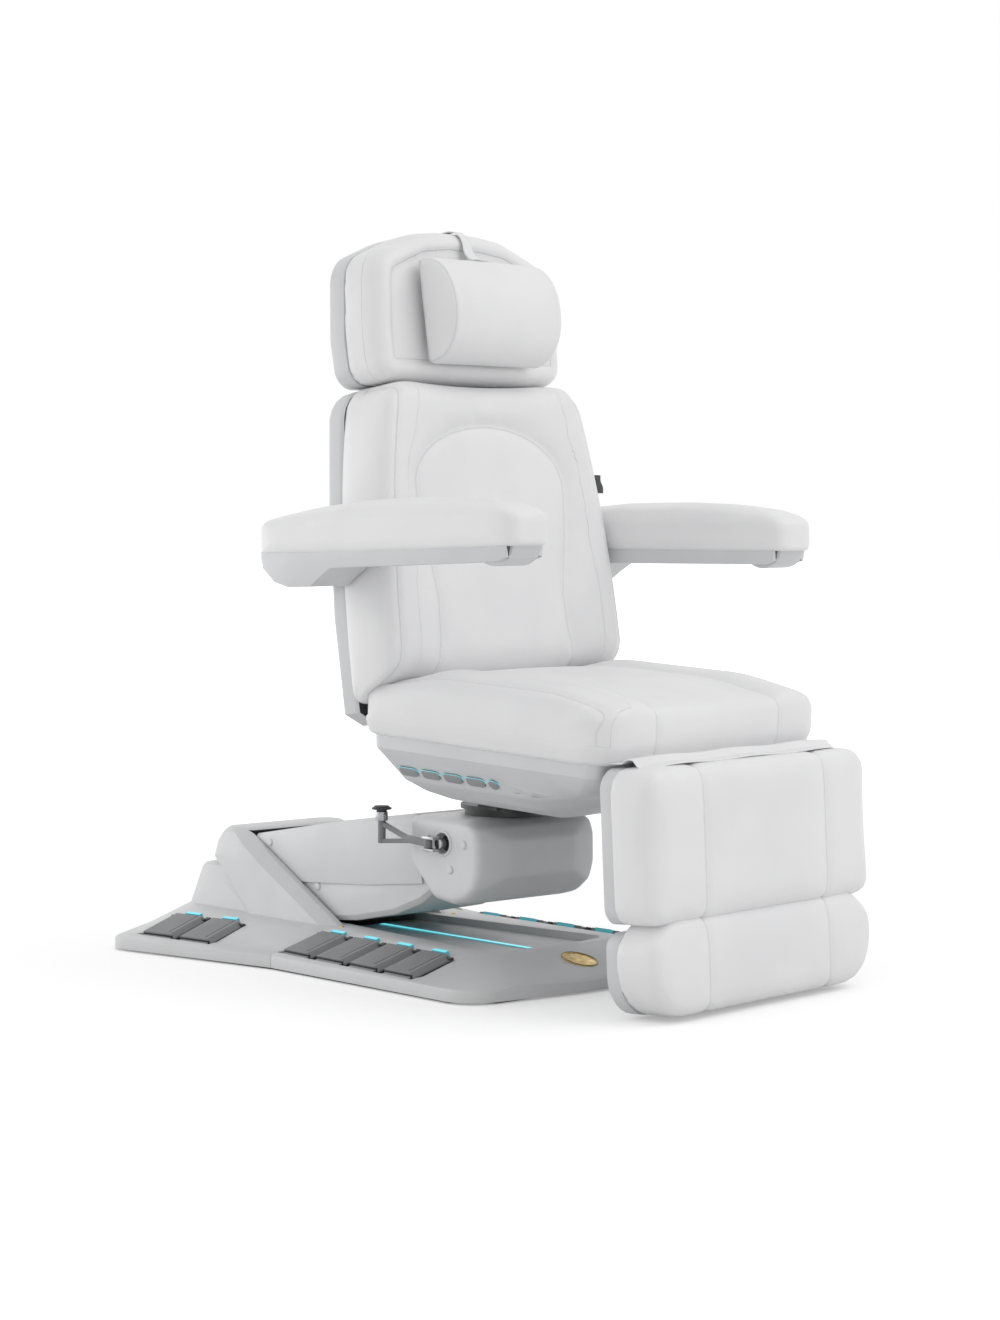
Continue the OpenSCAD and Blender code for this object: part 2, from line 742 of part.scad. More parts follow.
module swivel_bearing() {
    color("#b9bcc0") difference() {
        translate([0, 0, head_top]) cylinder(r = bearing_r, h = bearing_t);
        translate([0, 0, head_top - 1]) cylinder(r = spigot_r + run, h = bearing_t + 2);
    }
}

// ---------- lock lever ----------

lever_root = [-172, 26];
lever_mid = [-178, 80];
lever_tip = [-185, 146];
lever_pin_t = 4;
jaw_gap = 18;
// Short bar of the lever's fork between two points
module lever_bar(from, to, z0, z1, r) {
    hull() {
        translate([from[0], from[1], z0 - r]) cylinder(r = r, h = 2 * r, $fn = 24);
        translate([to[0], to[1], z1 - r]) cylinder(r = r, h = 2 * r, $fn = 24);
    }
}

module lock_lever() {
    fork_end = [lever_tip[0], lever_tip[1] - 4];
    color("#77797c") difference() {
        union() {
            translate([lever_root[0], lever_root[1], socket_z - jaw_gap / 2 + seat_gap])
                cylinder(r = 8, h = jaw_gap - 2 * seat_gap);
            lever_bar(lever_root, lever_mid, socket_z, socket_z + 5, 6);
            lever_bar(lever_mid, fork_end, socket_z + 7, 282, 4);
            lever_bar(lever_mid, fork_end, socket_z + 1, 249, 4);
            translate([lever_tip[0], lever_tip[1], 245]) cylinder(r = 7.5, h = 43);
        }
        translate([lever_root[0], lever_root[1], socket_z - 20]) cylinder(r = lever_pin_t + run, h = 40);
    }
}

module lever_fittings() {
    color("#c9ccd0") {
        rod_x(-156, -129, socket_y, socket_z, lever_pin_r);
        rod_x(-162.5, -150, socket_y, socket_z, 10);
        // clevis jaws above and below the lever's root, and their pin
        for (z = [jaw_gap / 2, -jaw_gap / 2 - 5])
            translate([lever_root[0] - 9, 2, socket_z + z]) cube([20, 32, 5]);
        translate([lever_root[0], lever_root[1], socket_z - 16]) cylinder(r = lever_pin_t, h = 32);
        // sleeve that carries the knob
        difference() {
            translate([lever_tip[0], lever_tip[1], 288]) cylinder(r = 12, h = 17);
            translate([lever_tip[0], lever_tip[1], 290]) cylinder(r = 5 + run, h = 20);
        }
    }
}

module lever_knob() {
    color("#3a3c3f") {
        translate([lever_tip[0], lever_tip[1], 292]) cylinder(r = 5, h = 16);
        translate([lever_tip[0], lever_tip[1], 305 + seat_gap]) cylinder(r = 10, h = 5);
        translate([lever_tip[0], lever_tip[1], 309]) cylinder(r = 19, h = 4);
        translate([lever_tip[0], lever_tip[1], 312]) cylinder(r = 15, h = 4);
    }
}

// ---------- swivel and tilt ----------

disc_z = head_top + bearing_t + seat_gap;
disc_t = 8;
tilt_y = -30;
tilt_z = 388;
tilt_pin_r = 9;
ear_x = 70;
ear_t = 10;
module turntable() {
    color(steel_grey) swivelled() difference() {
        union() {
            translate([0, 0, disc_z]) cylinder(r = bearing_r + 8, h = disc_t);
            translate([0, 0, 245]) cylinder(r = spigot_r, h = disc_z - 245 + 1);
            both_sides() side_plate(ear_x, ear_x + ear_t, [
                [-48, disc_z + 2], [0, disc_z + 2], [-12, tilt_z + 8], [-22, tilt_z + 16], [-38, tilt_z + 16],
                [-48, tilt_z + 8]
            ]);
        }
        rod_x(-ear_x - 20, ear_x + 20, tilt_y, tilt_z, tilt_pin_r + run);
    }
}

// ---------- seat ----------

// Frame of the seat's rim line: z = 0 is the line between shell and cushion
module seat_space() {
    translate([0, 0, seat_rim_z]) rotate([seat_slope, 0, 0]) children();
}

shell_front = 478;
shell_room = seat_half - 7 - shell_wall - 0.3;   // half the width inside the shell
bowl = [
    // depth below the rim, half width, front, rear, corner radius
    [0, seat_half - 6, -shell_front, seat_rear + 2, 26],
    [28, seat_half - 7, -shell_front + 2, seat_rear + 1, 26],
    [88, seat_half - 52, -440, 34, 38],
    [108, seat_half - 80, -412, 10, 44],
    [120, seat_half - 108, -378, -20, 48],
    [bowl_depth, seat_half - 145, -330, -60, 50]
];

module bowl_shape(inset) {
    hull() for (b = bowl)
        slice(b[1] - inset, b[2] + inset, b[3] - inset, b[4], -b[0] + (b[0] > 100 ? inset : 0));
}

slot_x = 139;
slot_w = 34;
button_half = 150;
module seat_shell() {
    color(cover_white) swivelled() seat_space() difference() {
        bowl_shape(0);
        bowl_shape(shell_wall);
        translate([-200, -400, -seat_gap]) cube([400, 400, 10]);
        // opening above the swivel
        translate([-110, -112, -160]) cube([220, 130, 90]);
        // slots for the hinge ears at the front and rear
        both_sides() translate([slot_x, -shell_front - 10, -38]) cube([slot_w, 50, 52]);
        both_sides() translate([slot_x, seat_rear - 40, -30]) cube([slot_w, 60, 40]);
        for (i = [0 : 3]) flank(button_first_y - i * button_pitch) button_shape(0.4, -8, 20);
        flank(round_y) translate([0, 0, -8]) cylinder(r = button_round_r + 0.4, h = 20);
    }
}

// Buttons sit on the shell's right flank, below its crease
flank_top = bowl[1];
flank_low = bowl[2];
flank_angle = atan((flank_low[0] - flank_top[0]) / (flank_top[1] - flank_low[1]));
button_pitch = 55;
button_first_y = -12;
button_drop = 0.66;              // share of the flank's height from the crease to the buttons
module flank(y) {
    x = -(flank_top[1] - (flank_top[1] - flank_low[1]) * button_drop);
    z = -(flank_top[0] + (flank_low[0] - flank_top[0]) * button_drop);
    translate([x, y, z]) rotate([0, -180 + flank_angle, 0]) rotate([0, 0, 90]) children();
}

button_size = [42, 20];
button_round_r = 11;
round_y = button_first_y - 4 * button_pitch + 12;
stem_r = 3;
flank_wall = shell_wall * sin(flank_angle);
module button_shape(grow, z0, height) {
    half_x = button_size[0] / 2 + grow;
    half_y = button_size[1] / 2 + grow;
    r = 7 + grow;
    translate([0, 0, z0]) linear_extrude(height) {
        translate([-half_x + r, -half_y]) square([2 * (half_x - r), 2 * half_y]);
        translate([-half_x, -half_y + r]) square([2 * half_x, 2 * (half_y - r)]);
        for (x = [-half_x + r, half_x - r], y = [-half_y + r, half_y - r]) translate([x, y]) circle(r);
    }
}

module seat_frame() {
    color(steel_grey) swivelled() {
        seat_space() {
            difference() {
                translate([-230, -440, -42]) cube([460, 470, 30]);
                translate([-200, -410, -50]) cube([400, 300, 50]);
                translate([-200, -80, -50]) cube([400, 80, 50]);
            }
            // posts that carry the cushion's board
            both_sides() for (y = [-430, 10]) translate([205, y, -12]) cube([20, 15, 12]);
            // brackets that carry the shell
            both_sides() for (y = [-400, -60]) translate([228, y, -27]) cube([shell_room - 228, 24, 12]);
        }
        both_sides() side_plate(ear_x + ear_t + 1, ear_x + ear_t + 11, [
            [tilt_y - 16, tilt_z - 12], [tilt_y + 16, tilt_z - 12], [tilt_y + 30, 445], [tilt_y - 70, 440]
        ]);
        rod_x(-ear_x - ear_t - 11, ear_x + ear_t + 11, tilt_y, tilt_z, tilt_pin_r);
        both_sides() difference() {
            union() {
                side_plate(slot_x + 6, slot_x + 14, [
                    [-leg_pivot_y - 8, leg_pivot_z - 10], [-430, 408], [-400, 430], [-leg_pivot_y - 2, leg_pivot_z + 10]
                ]);
                rod_x(slot_x + 6, slot_x + 14, -leg_pivot_y, leg_pivot_z, 11);
                side_plate(slot_x + 6, slot_x + 14, [
                    [recline_y, recline_z - 13], [10, 430], [-20, 445], [recline_y - 6, recline_z + 11]
                ]);
                rod_x(slot_x + 6, slot_x + 14, recline_y, recline_z, 13);
            }
            rod_x(slot_x, slot_x + 20, -leg_pivot_y, leg_pivot_z, leg_pin_r + run);
            rod_x(slot_x, slot_x + 20, recline_y, recline_z, recline_pin_r + run);
        }
    }
}

leg_pin_r = 6;
recline_pin_r = 7;

module seat_cushion() {
    t = seat_cushion_t;
    color(leather_white) swivelled() seat_space() difference() {
        hull() {
            slice(seat_half - 16, -seat_front + 34, seat_rear - 12, 60, 0);
            slice(seat_half - 4, -seat_front + 14, seat_rear - 4, 60, 12);
            slice(seat_half, -seat_front + 3, seat_rear - 2, 62, 34);
            slice(seat_half, -seat_front, seat_rear - 15, 62, 58);
            slice(seat_half - 5, -seat_front + 8, seat_rear - 40, 60, t - 24);
            slice(seat_half - 20, -seat_front + 34, seat_rear - 62, 60, t - 4);
            slice(seat_half - 60, -seat_front + 90, seat_rear - 90, 60, t + 4);
            slice(seat_half - 130, -seat_front + 150, seat_rear - 120, 60, t + 8);
        }
        // notches for the recline ears
        both_sides() translate([slot_x - 2, seat_rear - 38, -1]) cube([slot_w + 4, 60, 52]);
    }
}

flap_t = 3;
flap_rise = 10;                  // height of the wave in the flap, just ahead of the seat cushion
// The flap runs from under the seat cushion, over its wave, to its free edge on the leg rest
module seat_flap() {
    half = seat_half - 26;
    low = leg_pivot_z + leg_top + 3.6;
    rear = seat_front - 26.4;
    rise = seat_front + 11;
    crest = seat_front + 25;
    fall = seat_front + 36;
    rest = leg_pivot_y + 34;
    tip = leg_pivot_y + 62;
    color(leather_white) swivelled() side_plate(-half, half, [
        [-rear, low - flap_t / 2], [-rise, low + flap_t / 2], [-crest, low + flap_rise], [-fall, low + flap_rise],
        [-rest, low], [-tip, low], [-tip, low + flap_t], [-rest - 1, low + flap_t],
        [-fall - 1, low + flap_rise + flap_t], [-crest + 1, low + flap_rise + flap_t],
        [-rise + 1, low + 1.5 * flap_t], [-rear, low + flap_t / 2]
    ]);
}

cap_low = -1.5;                  // a button's cap starts this far inside the flank's surface
cap_h = 5;
module one_button(index) {
    color("#a9abad") swivelled() seat_space() flank(button_first_y - index * button_pitch) {
        button_shape(0, cap_low, cap_h);
        translate([0, 0, cap_low - 8]) cylinder(r = stem_r, h = 9);
    }
}
module button_round() {
    color("#a9abad") swivelled() seat_space() flank(round_y) {
        translate([0, 0, cap_low]) cylinder(r = button_round_r, h = cap_h);
        translate([0, 0, cap_low - 8]) cylinder(r = stem_r, h = 9);
    }
}

// Board behind the flank that guides the buttons' stems
module button_board() {
    board_t = 5;
    reach = button_first_y - round_y + 20;
    color(glow_cyan) swivelled() seat_space() difference() {
        flank(button_first_y) translate([-reach + stem_r + 1.5, -8, -flank_wall - board_t]) cube([reach, 16, board_t]);
        for (i = [0 : 3]) flank(button_first_y - i * button_pitch)
            translate([0, 0, -20]) cylinder(r = stem_r + run, h = 30);
        flank(round_y) translate([0, 0, -20]) cylinder(r = stem_r + run, h = 30);
    }
}

// ---------- back ----------

// Frame of the backrest: origin on the recline hinge, +Z up along the back
module back_space() {
    translate([0, recline_y, recline_z]) rotate([-back_lean, 0, 0]) children();
}

// Half width of the backrest at a height above its hinge
function back_half(z) = back_low_half - (back_low_half - back_top_half) * pow(max(0, z) / back_len, 2.2);

// Horizontal slice of the backrest between two depths
module back_slice(z, front, rear, r, inset) {
    translate([0, 0, z]) linear_extrude(layer) plan(back_half(z) - inset, -front, rear, r);
}

module back_shell_shape(inset) {
    t = back_shell_t - inset;
    hull() {
        back_slice(-4 + inset, 0, t - 12, 6, 40 + inset);
        back_slice(20, 0, t, 9, 6 + inset);
        back_slice(200, 0, t, 9, inset);
        back_slice(400, 0, t, 9, inset);
        back_slice(back_len - 52, 0, t, 9, inset);
        back_slice(back_len - 34, 0, t - 1, 9, 4 + inset);
        back_slice(back_len - 18, 0, t - 2, 9, 14 + inset);
        back_slice(back_len - 6, 0, t - 5, 9, 30 + inset);
        back_slice(back_len - inset, 0, t - 8, 9, 52 + inset);
    }
}

pin_hole_r = armrest_pin_r + 4;
module back_shell() {
    color(cover_white) swivelled() {
        difference() {
            back_space() difference() {
                back_shell_shape(0);
                translate([0, -shell_wall, 0]) back_shell_shape(shell_wall);
                both_sides() translate([slot_x - 4, -20, -20]) cube([slot_w + 8, 60, 44]);
                both_sides() translate([post_x, post_y, back_len - 40]) cylinder(r = post_r + 2, h = 60);
            }
            rod_x(-400, 400, armrest_pivot_y, armrest_pivot_z, pin_hole_r);
        }
    }
}

frame_x = 165;
frame_y = 2;
post_x = 70;
post_y = 14;
socket_low = back_len - 190;
module back_frame() {
    depth = back_shell_t - 2 * shell_wall - frame_y;
    color(black) swivelled() {
        back_space() difference() {
            union() {
                both_sides() translate([frame_x - 4, frame_y, 22]) cube([14, depth, back_len - 84]);
                // cross members, the upper two with the sockets of the headrest posts
                for (z = [60, 260, socket_low, back_len - 86])
                    translate([-frame_x, frame_y, z]) cube([2 * frame_x, depth, 24]);
                both_sides() translate([frame_x - 4, -13, -10]) cube([8, frame_y + depth + 13, 36]);
                both_sides() rod_x(slot_x + 2, frame_x, 0, 0, recline_pin_r);
            }
            both_sides() translate([post_x, post_y, socket_low - 10]) cylinder(r = post_r + run, h = 200);
        }
        both_sides() side_plate(frame_x, 300, [
            [armrest_pivot_y - 6, armrest_pivot_z - 10], [armrest_pivot_y + 6, armrest_pivot_z - 10],
            [armrest_pivot_y + 6, armrest_pivot_z + 10], [armrest_pivot_y - 6, armrest_pivot_z + 10]
        ]);
        both_sides() rod_x(frame_x, armrest_in + 50, armrest_pivot_y, armrest_pivot_z, armrest_pin_r);
    }
}

post_r = 7;
module back_cushion() {
    c = back_cushion_t;
    color(leather_white) swivelled() back_space() hull() {
        back_slice(30, 12, 0, 6, 14);
        back_slice(70, 50, 0, 20, 6);
        back_slice(106, c - 14, 0, 24, 2);
        back_slice(144, c - 2, 0, 34, 0);
        back_slice(300, c, 0, 40, 0);
        back_slice(440, c, 0, 40, 0);
        back_slice(back_len - 60, c - 2, 0, 34, 2);
        back_slice(back_len - 18, c - 14, 0, 26, 16);
        back_slice(back_len - 1, c - 38, 0, 20, 44);
    }
}

// ---------- headrest ----------

headrest_low = back_len + headrest_gap;

module headrest_posts() {
    top = headrest_low + 120;
    color("#c9ccd0") swivelled() back_space() {
        both_sides() translate([post_x, post_y, socket_low + 2]) cylinder(r = post_r, h = top - socket_low - 2);
        translate([-post_x - 16, post_y - 6, top - 20]) cube([2 * post_x + 32, headrest_rear - post_y, 26]);
    }
}

// Outline of the headrest, seen from the front: broad below, round above
module headrest_outline(inset) {
    top = headrest_low + headrest_h;
    hull() {
        for (x = [-1, 1]) {
            translate([x * (headrest_half - 44), headrest_low + 40]) circle(40 - inset);
            translate([x * (headrest_half - 60), headrest_low + 90]) circle(58 - inset);
            translate([x * (headrest_half - 82), top - 102]) circle(66 - inset);
            translate([x * (headrest_half - 168), top - 116]) circle(110 - inset);
        }
        translate([-48, top - 20]) square([96, 20 - inset]);
    }
}
module headrest_slab(y0, y1, inset) {
    translate([0, y1, 0]) rotate([90, 0, 0]) linear_extrude(y1 - y0) headrest_outline(inset);
}

head_split = -5;
headrest_rear = 38;
module headrest_shell() {
    color(cover_white) swivelled() back_space() difference() {
        union() {
            headrest_slab(head_split, headrest_rear - 8, 0);
            headrest_slab(headrest_rear - 9, headrest_rear - 4, 3);
            headrest_slab(headrest_rear - 5.5, headrest_rear, 9);
        }
        headrest_slab(head_split - 1, headrest_rear - 6, 5);
        both_sides() translate([post_x, post_y, headrest_low - 10]) cylinder(r = post_r + 2, h = 30);
    }
}

module headrest_cushion() {
    color(leather_white) swivelled() back_space() {
        headrest_slab(-64, head_split, 2);
        headrest_slab(-76, -60, 10);
        headrest_slab(-90, -70, 34);
        headrest_slab(-102, -88, 70);
    }
}

pillow_low = headrest_low + 30;
module neck_pillow() {
    mid = pillow_low + pillow_h / 2;
    rear = -102.3 - strap_t - 0.3;
    color(leather_white) swivelled() back_space() hull() {
        for (z = [-1, 1]) {
            translate([-pillow_half, rear - 12, mid + z * (pillow_h / 2 - 12)]) rotate([0, 90, 0])
                cylinder(r = 12, h = 2 * pillow_half);
            translate([-pillow_half, rear - 44, mid + z * (pillow_h / 2 - 34)]) rotate([0, 90, 0])
                cylinder(r = 28, h = 2 * pillow_half);
        }
        translate([-pillow_half, rear - 47, mid]) rotate([0, 90, 0]) cylinder(r = 38, h = 2 * pillow_half);
    }
}

strap_t = 2.5;
module pillow_strap() {
    top = headrest_low + headrest_h + 0.4;
    low = pillow_low + pillow_h - 38;
    t = strap_t;
    rear = headrest_rear + 0.3;
    color(leather_white) swivelled() back_space() side_plate(-strap_w / 2, strap_w / 2, [
        [-102.3, low], [-102.3, top - 69], [-90.4, top - 33], [-76.4, top - 8], [-64.4, top], [rear - 7.3, top],
        [rear - 3.8, top - 2.5], [rear, top - 8.5], [rear, top - 70], [rear + t, top - 70],
        [rear + t, top - 7], [rear - 2.3, top], [rear - 6.3, top + t], [-66, top + t], [-78.5, top - 6],
        [-92.5, top - 31], [-102.3 - t, top - 68], [-102.3 - t, low]
    ]);
}

// ---------- armrests ----------

// side is 1 on the left (+X) and -1 on the right
module arm_space(side) {
    tilt = side < 0 ? right_arm_tilt : 0;
    translate([0, armrest_pivot_y, armrest_pivot_z]) rotate([-tilt, 0, 0])
        translate([0, -armrest_pivot_y, -armrest_pivot_z])
            translate([side > 0 ? armrest_in : -armrest_in - armrest_w, 0, 0]) children();
}

module pad_slice(z, inset, front, rear) {
    translate([armrest_w / 2, 0, z]) linear_extrude(layer)
        plan(armrest_w / 2 - inset, -armrest_front + front, armrest_rear - rear, 22);
}

module armrest_pad(side) {
    color(leather_white) swivelled() arm_space(side) hull() {
        pad_slice(armrest_z, 3, 4, 3);
        pad_slice(armrest_z + 10, 0, 1, 0);
        pad_slice(armrest_z + 34, 0, 0, 0);
        pad_slice(armrest_z + 60, 1, 6, 60);
        pad_slice(armrest_z + 76, 9, 26, 190);
        pad_slice(armrest_z + 85, 24, 70, 340);
    }
}

module armrest_shell(side) {
    color(cover_white) swivelled() difference() {
        arm_space(side) difference() {
            union() {
                side_plate(2, armrest_w - 2, [
                    [-armrest_front + 6, armrest_z], [-armrest_front + 10, armrest_z - 24],
                    [-armrest_front + 30, armrest_z - 30], [40, armrest_z - 33], [72, armrest_z - 52],
                    [92, armrest_z - 66], [150, armrest_z - 66], [184, armrest_z - 56],
                    [armrest_rear - 8, armrest_z - 30], [armrest_rear - 5, armrest_z]
                ]);
                // round lug near the front end
                rod_x(14, armrest_w - 14, -armrest_front + 44, armrest_z + 10, 48);
            }
            translate([-10, -500, armrest_z]) cube([200, 800, 100]);
            translate([6, -armrest_front + 14, armrest_z - 24]) cube([armrest_w - 12, armrest_front + 44, 30]);
        }
        both_sides() rod_x(armrest_in - 5, armrest_in + 60, armrest_pivot_y, armrest_pivot_z, armrest_pin_r + run);
    }
}

// ---------- leg rest ----------

// Frame of the leg rest: origin on its hinge, the rest hangs towards -Z
module leg_space() {
    translate([0, -leg_pivot_y, leg_pivot_z]) rotate([-leg_tilt, 0, 0]) children();
}

leg_line = 2.3;                  // depth of the line between shell and cushion
foot_top = -leg_len - foot_gap;

// Panel seen from the front, with its own corner radii above and below
module panel_outline(top, low, r_top, r_low, inset) {
    hull() for (x = [-1, 1]) {
        translate([x * (leg_half - r_top), top - r_top]) circle(r_top - inset);
        translate([x * (leg_half - r_low), low + r_low]) circle(r_low - inset);
    }
}
module panel(y0, y1, top, low, r_top, r_low, inset) {
    translate([0, y1, 0]) rotate([90, 0, 0]) linear_extrude(y1 - y0)
        panel_outline(top, low, r_top, r_low, inset);
}

leg_corner = 40;
leg_low_corner = 30;
foot_corner = 30;
foot_low_corner = 72;
rail_x = 150;
rail_r = 8;

module leg_shell() {
    low = -leg_len;
    rear = leg_line + leg_shell_t;
    color(cover_white) swivelled() leg_space() difference() {
        union() {
            panel(leg_line, rear - 6, leg_top, low, leg_corner, leg_low_corner, 1);
            panel(rear - 7, rear, leg_top, low, leg_corner, leg_low_corner, 6);
        }
        panel(leg_line - 1, rear - shell_wall, leg_top, low, leg_corner, leg_low_corner, 9);
        both_sides() translate([slot_x - 6, -10, -22]) cube([slot_w + 12, 60, 60]);
        both_sides() translate([rail_x, leg_line + 15, -leg_len - 10]) cylinder(r = rail_r + 1, h = 25);
    }
}

module leg_frame() {
    inner = leg_shell_t - shell_wall;
    color(steel_grey) swivelled() leg_space() {
        both_sides() rod_x(slot_x + 3, slot_x + 22, 0, 0, leg_pin_r);
        both_sides() translate([slot_x + 16, -6, -60]) cube([7, 12, 66]);
        both_sides() difference() {
            translate([rail_x - 13, leg_line + 4, -leg_len + 12]) cube([26, inner - 4, leg_len - 40]);
            translate([rail_x, leg_line + 15, -leg_len]) cylinder(r = rail_r + run, h = leg_len - 40);
        }
        translate([-rail_x + 12, leg_line + 4, -110]) cube([2 * rail_x - 24, inner - 4, 24]);
        both_sides() translate([slot_x + 16, 2, -60]) cube([7, 20, 24]);
    }
}

module leg_cushion() {
    c = leg_cushion_t;
    color(leather_white) swivelled() leg_space() difference() {
        union() {
            panel(-c + 26, leg_line, leg_top, -leg_len, leg_corner, leg_low_corner, 0);
            panel(-c + 10, -c + 27, leg_top, -leg_len, leg_corner, leg_low_corner, 5);
            panel(-c, -c + 11, leg_top, -leg_len, leg_corner, leg_low_corner, 14);
        }
        both_sides() translate([slot_x - 6, -16, -68]) cube([slot_w + 12, 60, 100]);
    }
}

module foot_rails() {
    inner = leg_line + leg_shell_t - shell_wall;
    color("#c9ccd0") swivelled() leg_space() {
        both_sides() translate([rail_x, leg_line + 15, foot_top - 60]) cylinder(r = rail_r, h = 260);
        translate([-rail_x, leg_line + 8, foot_top - 50]) cube([2 * rail_x, inner - leg_line - 8, 24]);
    }
}

module foot_shell() {
    low = foot_top - foot_len;
    rear = leg_line + leg_shell_t;
    color(cover_white) swivelled() leg_space() difference() {
        union() {
            panel(leg_line, rear - 6, foot_top, low, foot_corner, foot_low_corner, 1);
            panel(rear - 7, rear, foot_top, low, foot_corner, foot_low_corner, 6);
        }
        panel(leg_line - 1, rear - shell_wall, foot_top, low, foot_corner, foot_low_corner, 9);
        both_sides() translate([rail_x, leg_line + 15, foot_top - 20]) cylinder(r = rail_r + 1, h = 40);
    }
}

module foot_cushion() {
    c = leg_cushion_t;
    low = foot_top - foot_len;
    color(leather_white) swivelled() leg_space() {
        panel(-c + 26, leg_line, foot_top, low, foot_corner, foot_low_corner, 0);
        panel(-c + 10, -c + 27, foot_top, low, foot_corner, foot_low_corner, 5);
        panel(-c, -c + 11, foot_top, low, foot_corner, foot_low_corner, 14);
    }
}

// ---------- nodes ----------

base_plate();
rear_base_cover();
front_base_cover();
tower_frame();
control_box();
base_lights();
pedal_hinges();
right_pedal(0);  // pedal_right_1
right_pedal(1);  // pedal_right_2
right_pedal(2);  // pedal_right_3
right_pedal(3);  // pedal_right_4
left_pedal(0);  // pedal_left_1
left_pedal(1);  // pedal_left_2
left_pedal(2);  // pedal_left_3
left_pedal(3);  // pedal_left_4
rear_right_pedal(0);  // rear_pedal_right_1
rear_right_pedal(1);  // rear_pedal_right_2
rear_left_pedal(0);  // rear_pedal_left_1
rear_left_pedal(1);  // rear_pedal_left_2
lift_motor();
lift_rod();
upper_link();
upper_arm_cover();
lower_link();
lower_arm_cover();
head_block();
head_housing();
swivel_bearing();
lock_lever();
lever_fittings();
lever_knob();
turntable();
seat_frame();
seat_shell();
seat_cushion();
seat_flap();
one_button(0);  // button_1
one_button(1);  // button_2
one_button(2);  // button_3
one_button(3);  // button_4
button_round();
button_board();
back_frame();
back_shell();
back_cushion();
headrest_posts();
headrest_shell();
headrest_cushion();
neck_pillow();
pillow_strap();
armrest_pad(-1);  // armrest_pad_right
armrest_pad(1);  // armrest_pad_left
armrest_shell(-1);  // armrest_shell_right
armrest_shell(1);  // armrest_shell_left
leg_frame();
leg_shell();
leg_cushion();
foot_rails();
foot_shell();
foot_cushion();
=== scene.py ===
from math import radians

import bpy
import numpy as np
from mathutils import Matrix, Vector, geometry


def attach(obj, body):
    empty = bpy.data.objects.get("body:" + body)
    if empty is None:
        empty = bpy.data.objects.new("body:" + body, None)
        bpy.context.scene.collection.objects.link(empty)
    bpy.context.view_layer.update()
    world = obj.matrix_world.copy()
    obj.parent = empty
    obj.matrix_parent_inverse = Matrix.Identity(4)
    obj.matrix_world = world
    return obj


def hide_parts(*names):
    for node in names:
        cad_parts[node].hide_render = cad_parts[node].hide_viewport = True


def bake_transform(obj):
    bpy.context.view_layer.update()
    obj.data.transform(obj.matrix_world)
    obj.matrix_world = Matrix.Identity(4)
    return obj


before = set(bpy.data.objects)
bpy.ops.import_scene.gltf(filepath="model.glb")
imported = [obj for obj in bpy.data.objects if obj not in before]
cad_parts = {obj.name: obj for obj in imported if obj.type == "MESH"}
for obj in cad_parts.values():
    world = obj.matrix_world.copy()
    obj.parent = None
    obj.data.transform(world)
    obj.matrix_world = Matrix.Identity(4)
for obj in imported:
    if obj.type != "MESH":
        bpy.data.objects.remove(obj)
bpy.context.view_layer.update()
scene = bpy.context.scene
scene.view_settings.view_transform = "Standard"

# ---------------------------------------------------------------- room, camera and lamps
# A plain white studio: one pale floor that keeps the chair's shadow, a large soft lamp above,
# a weak one in front, and two lower ones on the left and behind.
camera_place = Vector((-3.800, -4.231, 0.894))
camera_turn = radians(-41.82)
camera_fall = radians(3.04)
picture_height = 1320
focal_pixels = 3000

camera_data = bpy.data.cameras.new("camera")
camera_data.sensor_width = 36
camera_data.lens = focal_pixels / picture_height * camera_data.sensor_width
camera_data.clip_end = 60
camera = bpy.data.objects.new("camera", camera_data)
scene.collection.objects.link(camera)
camera.location = camera_place
backwards = Vector((
    np.sin(camera_turn) * np.cos(camera_fall),
    -np.cos(camera_turn) * np.cos(camera_fall),
    np.sin(camera_fall),
))
camera.rotation_mode = "QUATERNION"
camera.rotation_quaternion = (-backwards).to_track_quat("-Z", "Y")
scene.camera = camera


def soft_lamp(name, place, size, power, aim=(0, 0, 0.6)):
    """A square soft box that points at the chair."""
    data = bpy.data.lights.new(name, "AREA")
    data.shape = "SQUARE"
    data.size = size
    data.energy = power
    lamp = bpy.data.objects.new(name, data)
    scene.collection.objects.link(lamp)
    lamp.location = place
    lamp.rotation_mode = "QUATERNION"
    lamp.rotation_quaternion = (Vector(aim) - Vector(place)).to_track_quat("-Z", "Y")


soft_lamp("key_lamp", (1.5, -2.7, 3.8), 2.6, 33)
soft_lamp("front_lamp", (1.2, -4.3, 1.4), 2.6, 6)
soft_lamp("rear_left_lamp", (-2.2, 3.9, 1.3), 2.6, 36)
soft_lamp("left_lamp", (-4.1, 1.9, 1.3), 2.6, 10, (0, 0.2, 0.2))


class Amount:
    """A number or colour inside a finish. Arithmetic on it adds Math nodes."""

    def __init__(self, finish, socket):
        self.finish = finish
        self.socket = socket

    def _math(self, operation, first, second):
        return self.finish.node("Math", {"operation": operation}, {0: first, 1: second})

    def __add__(self, other):
        return self._math("ADD", self, other)

    def __sub__(self, other):
        return self._math("SUBTRACT", self, other)

    def __rsub__(self, other):
        return self._math("SUBTRACT", other, self)

    def __mul__(self, other):
        return self._math("MULTIPLY", self, other)

    def __abs__(self):
        return self._math("ABSOLUTE", self, 0)

    def higher(self, other):
        return self._math("MAXIMUM", self, other)

    __radd__ = __add__
    __rmul__ = __mul__


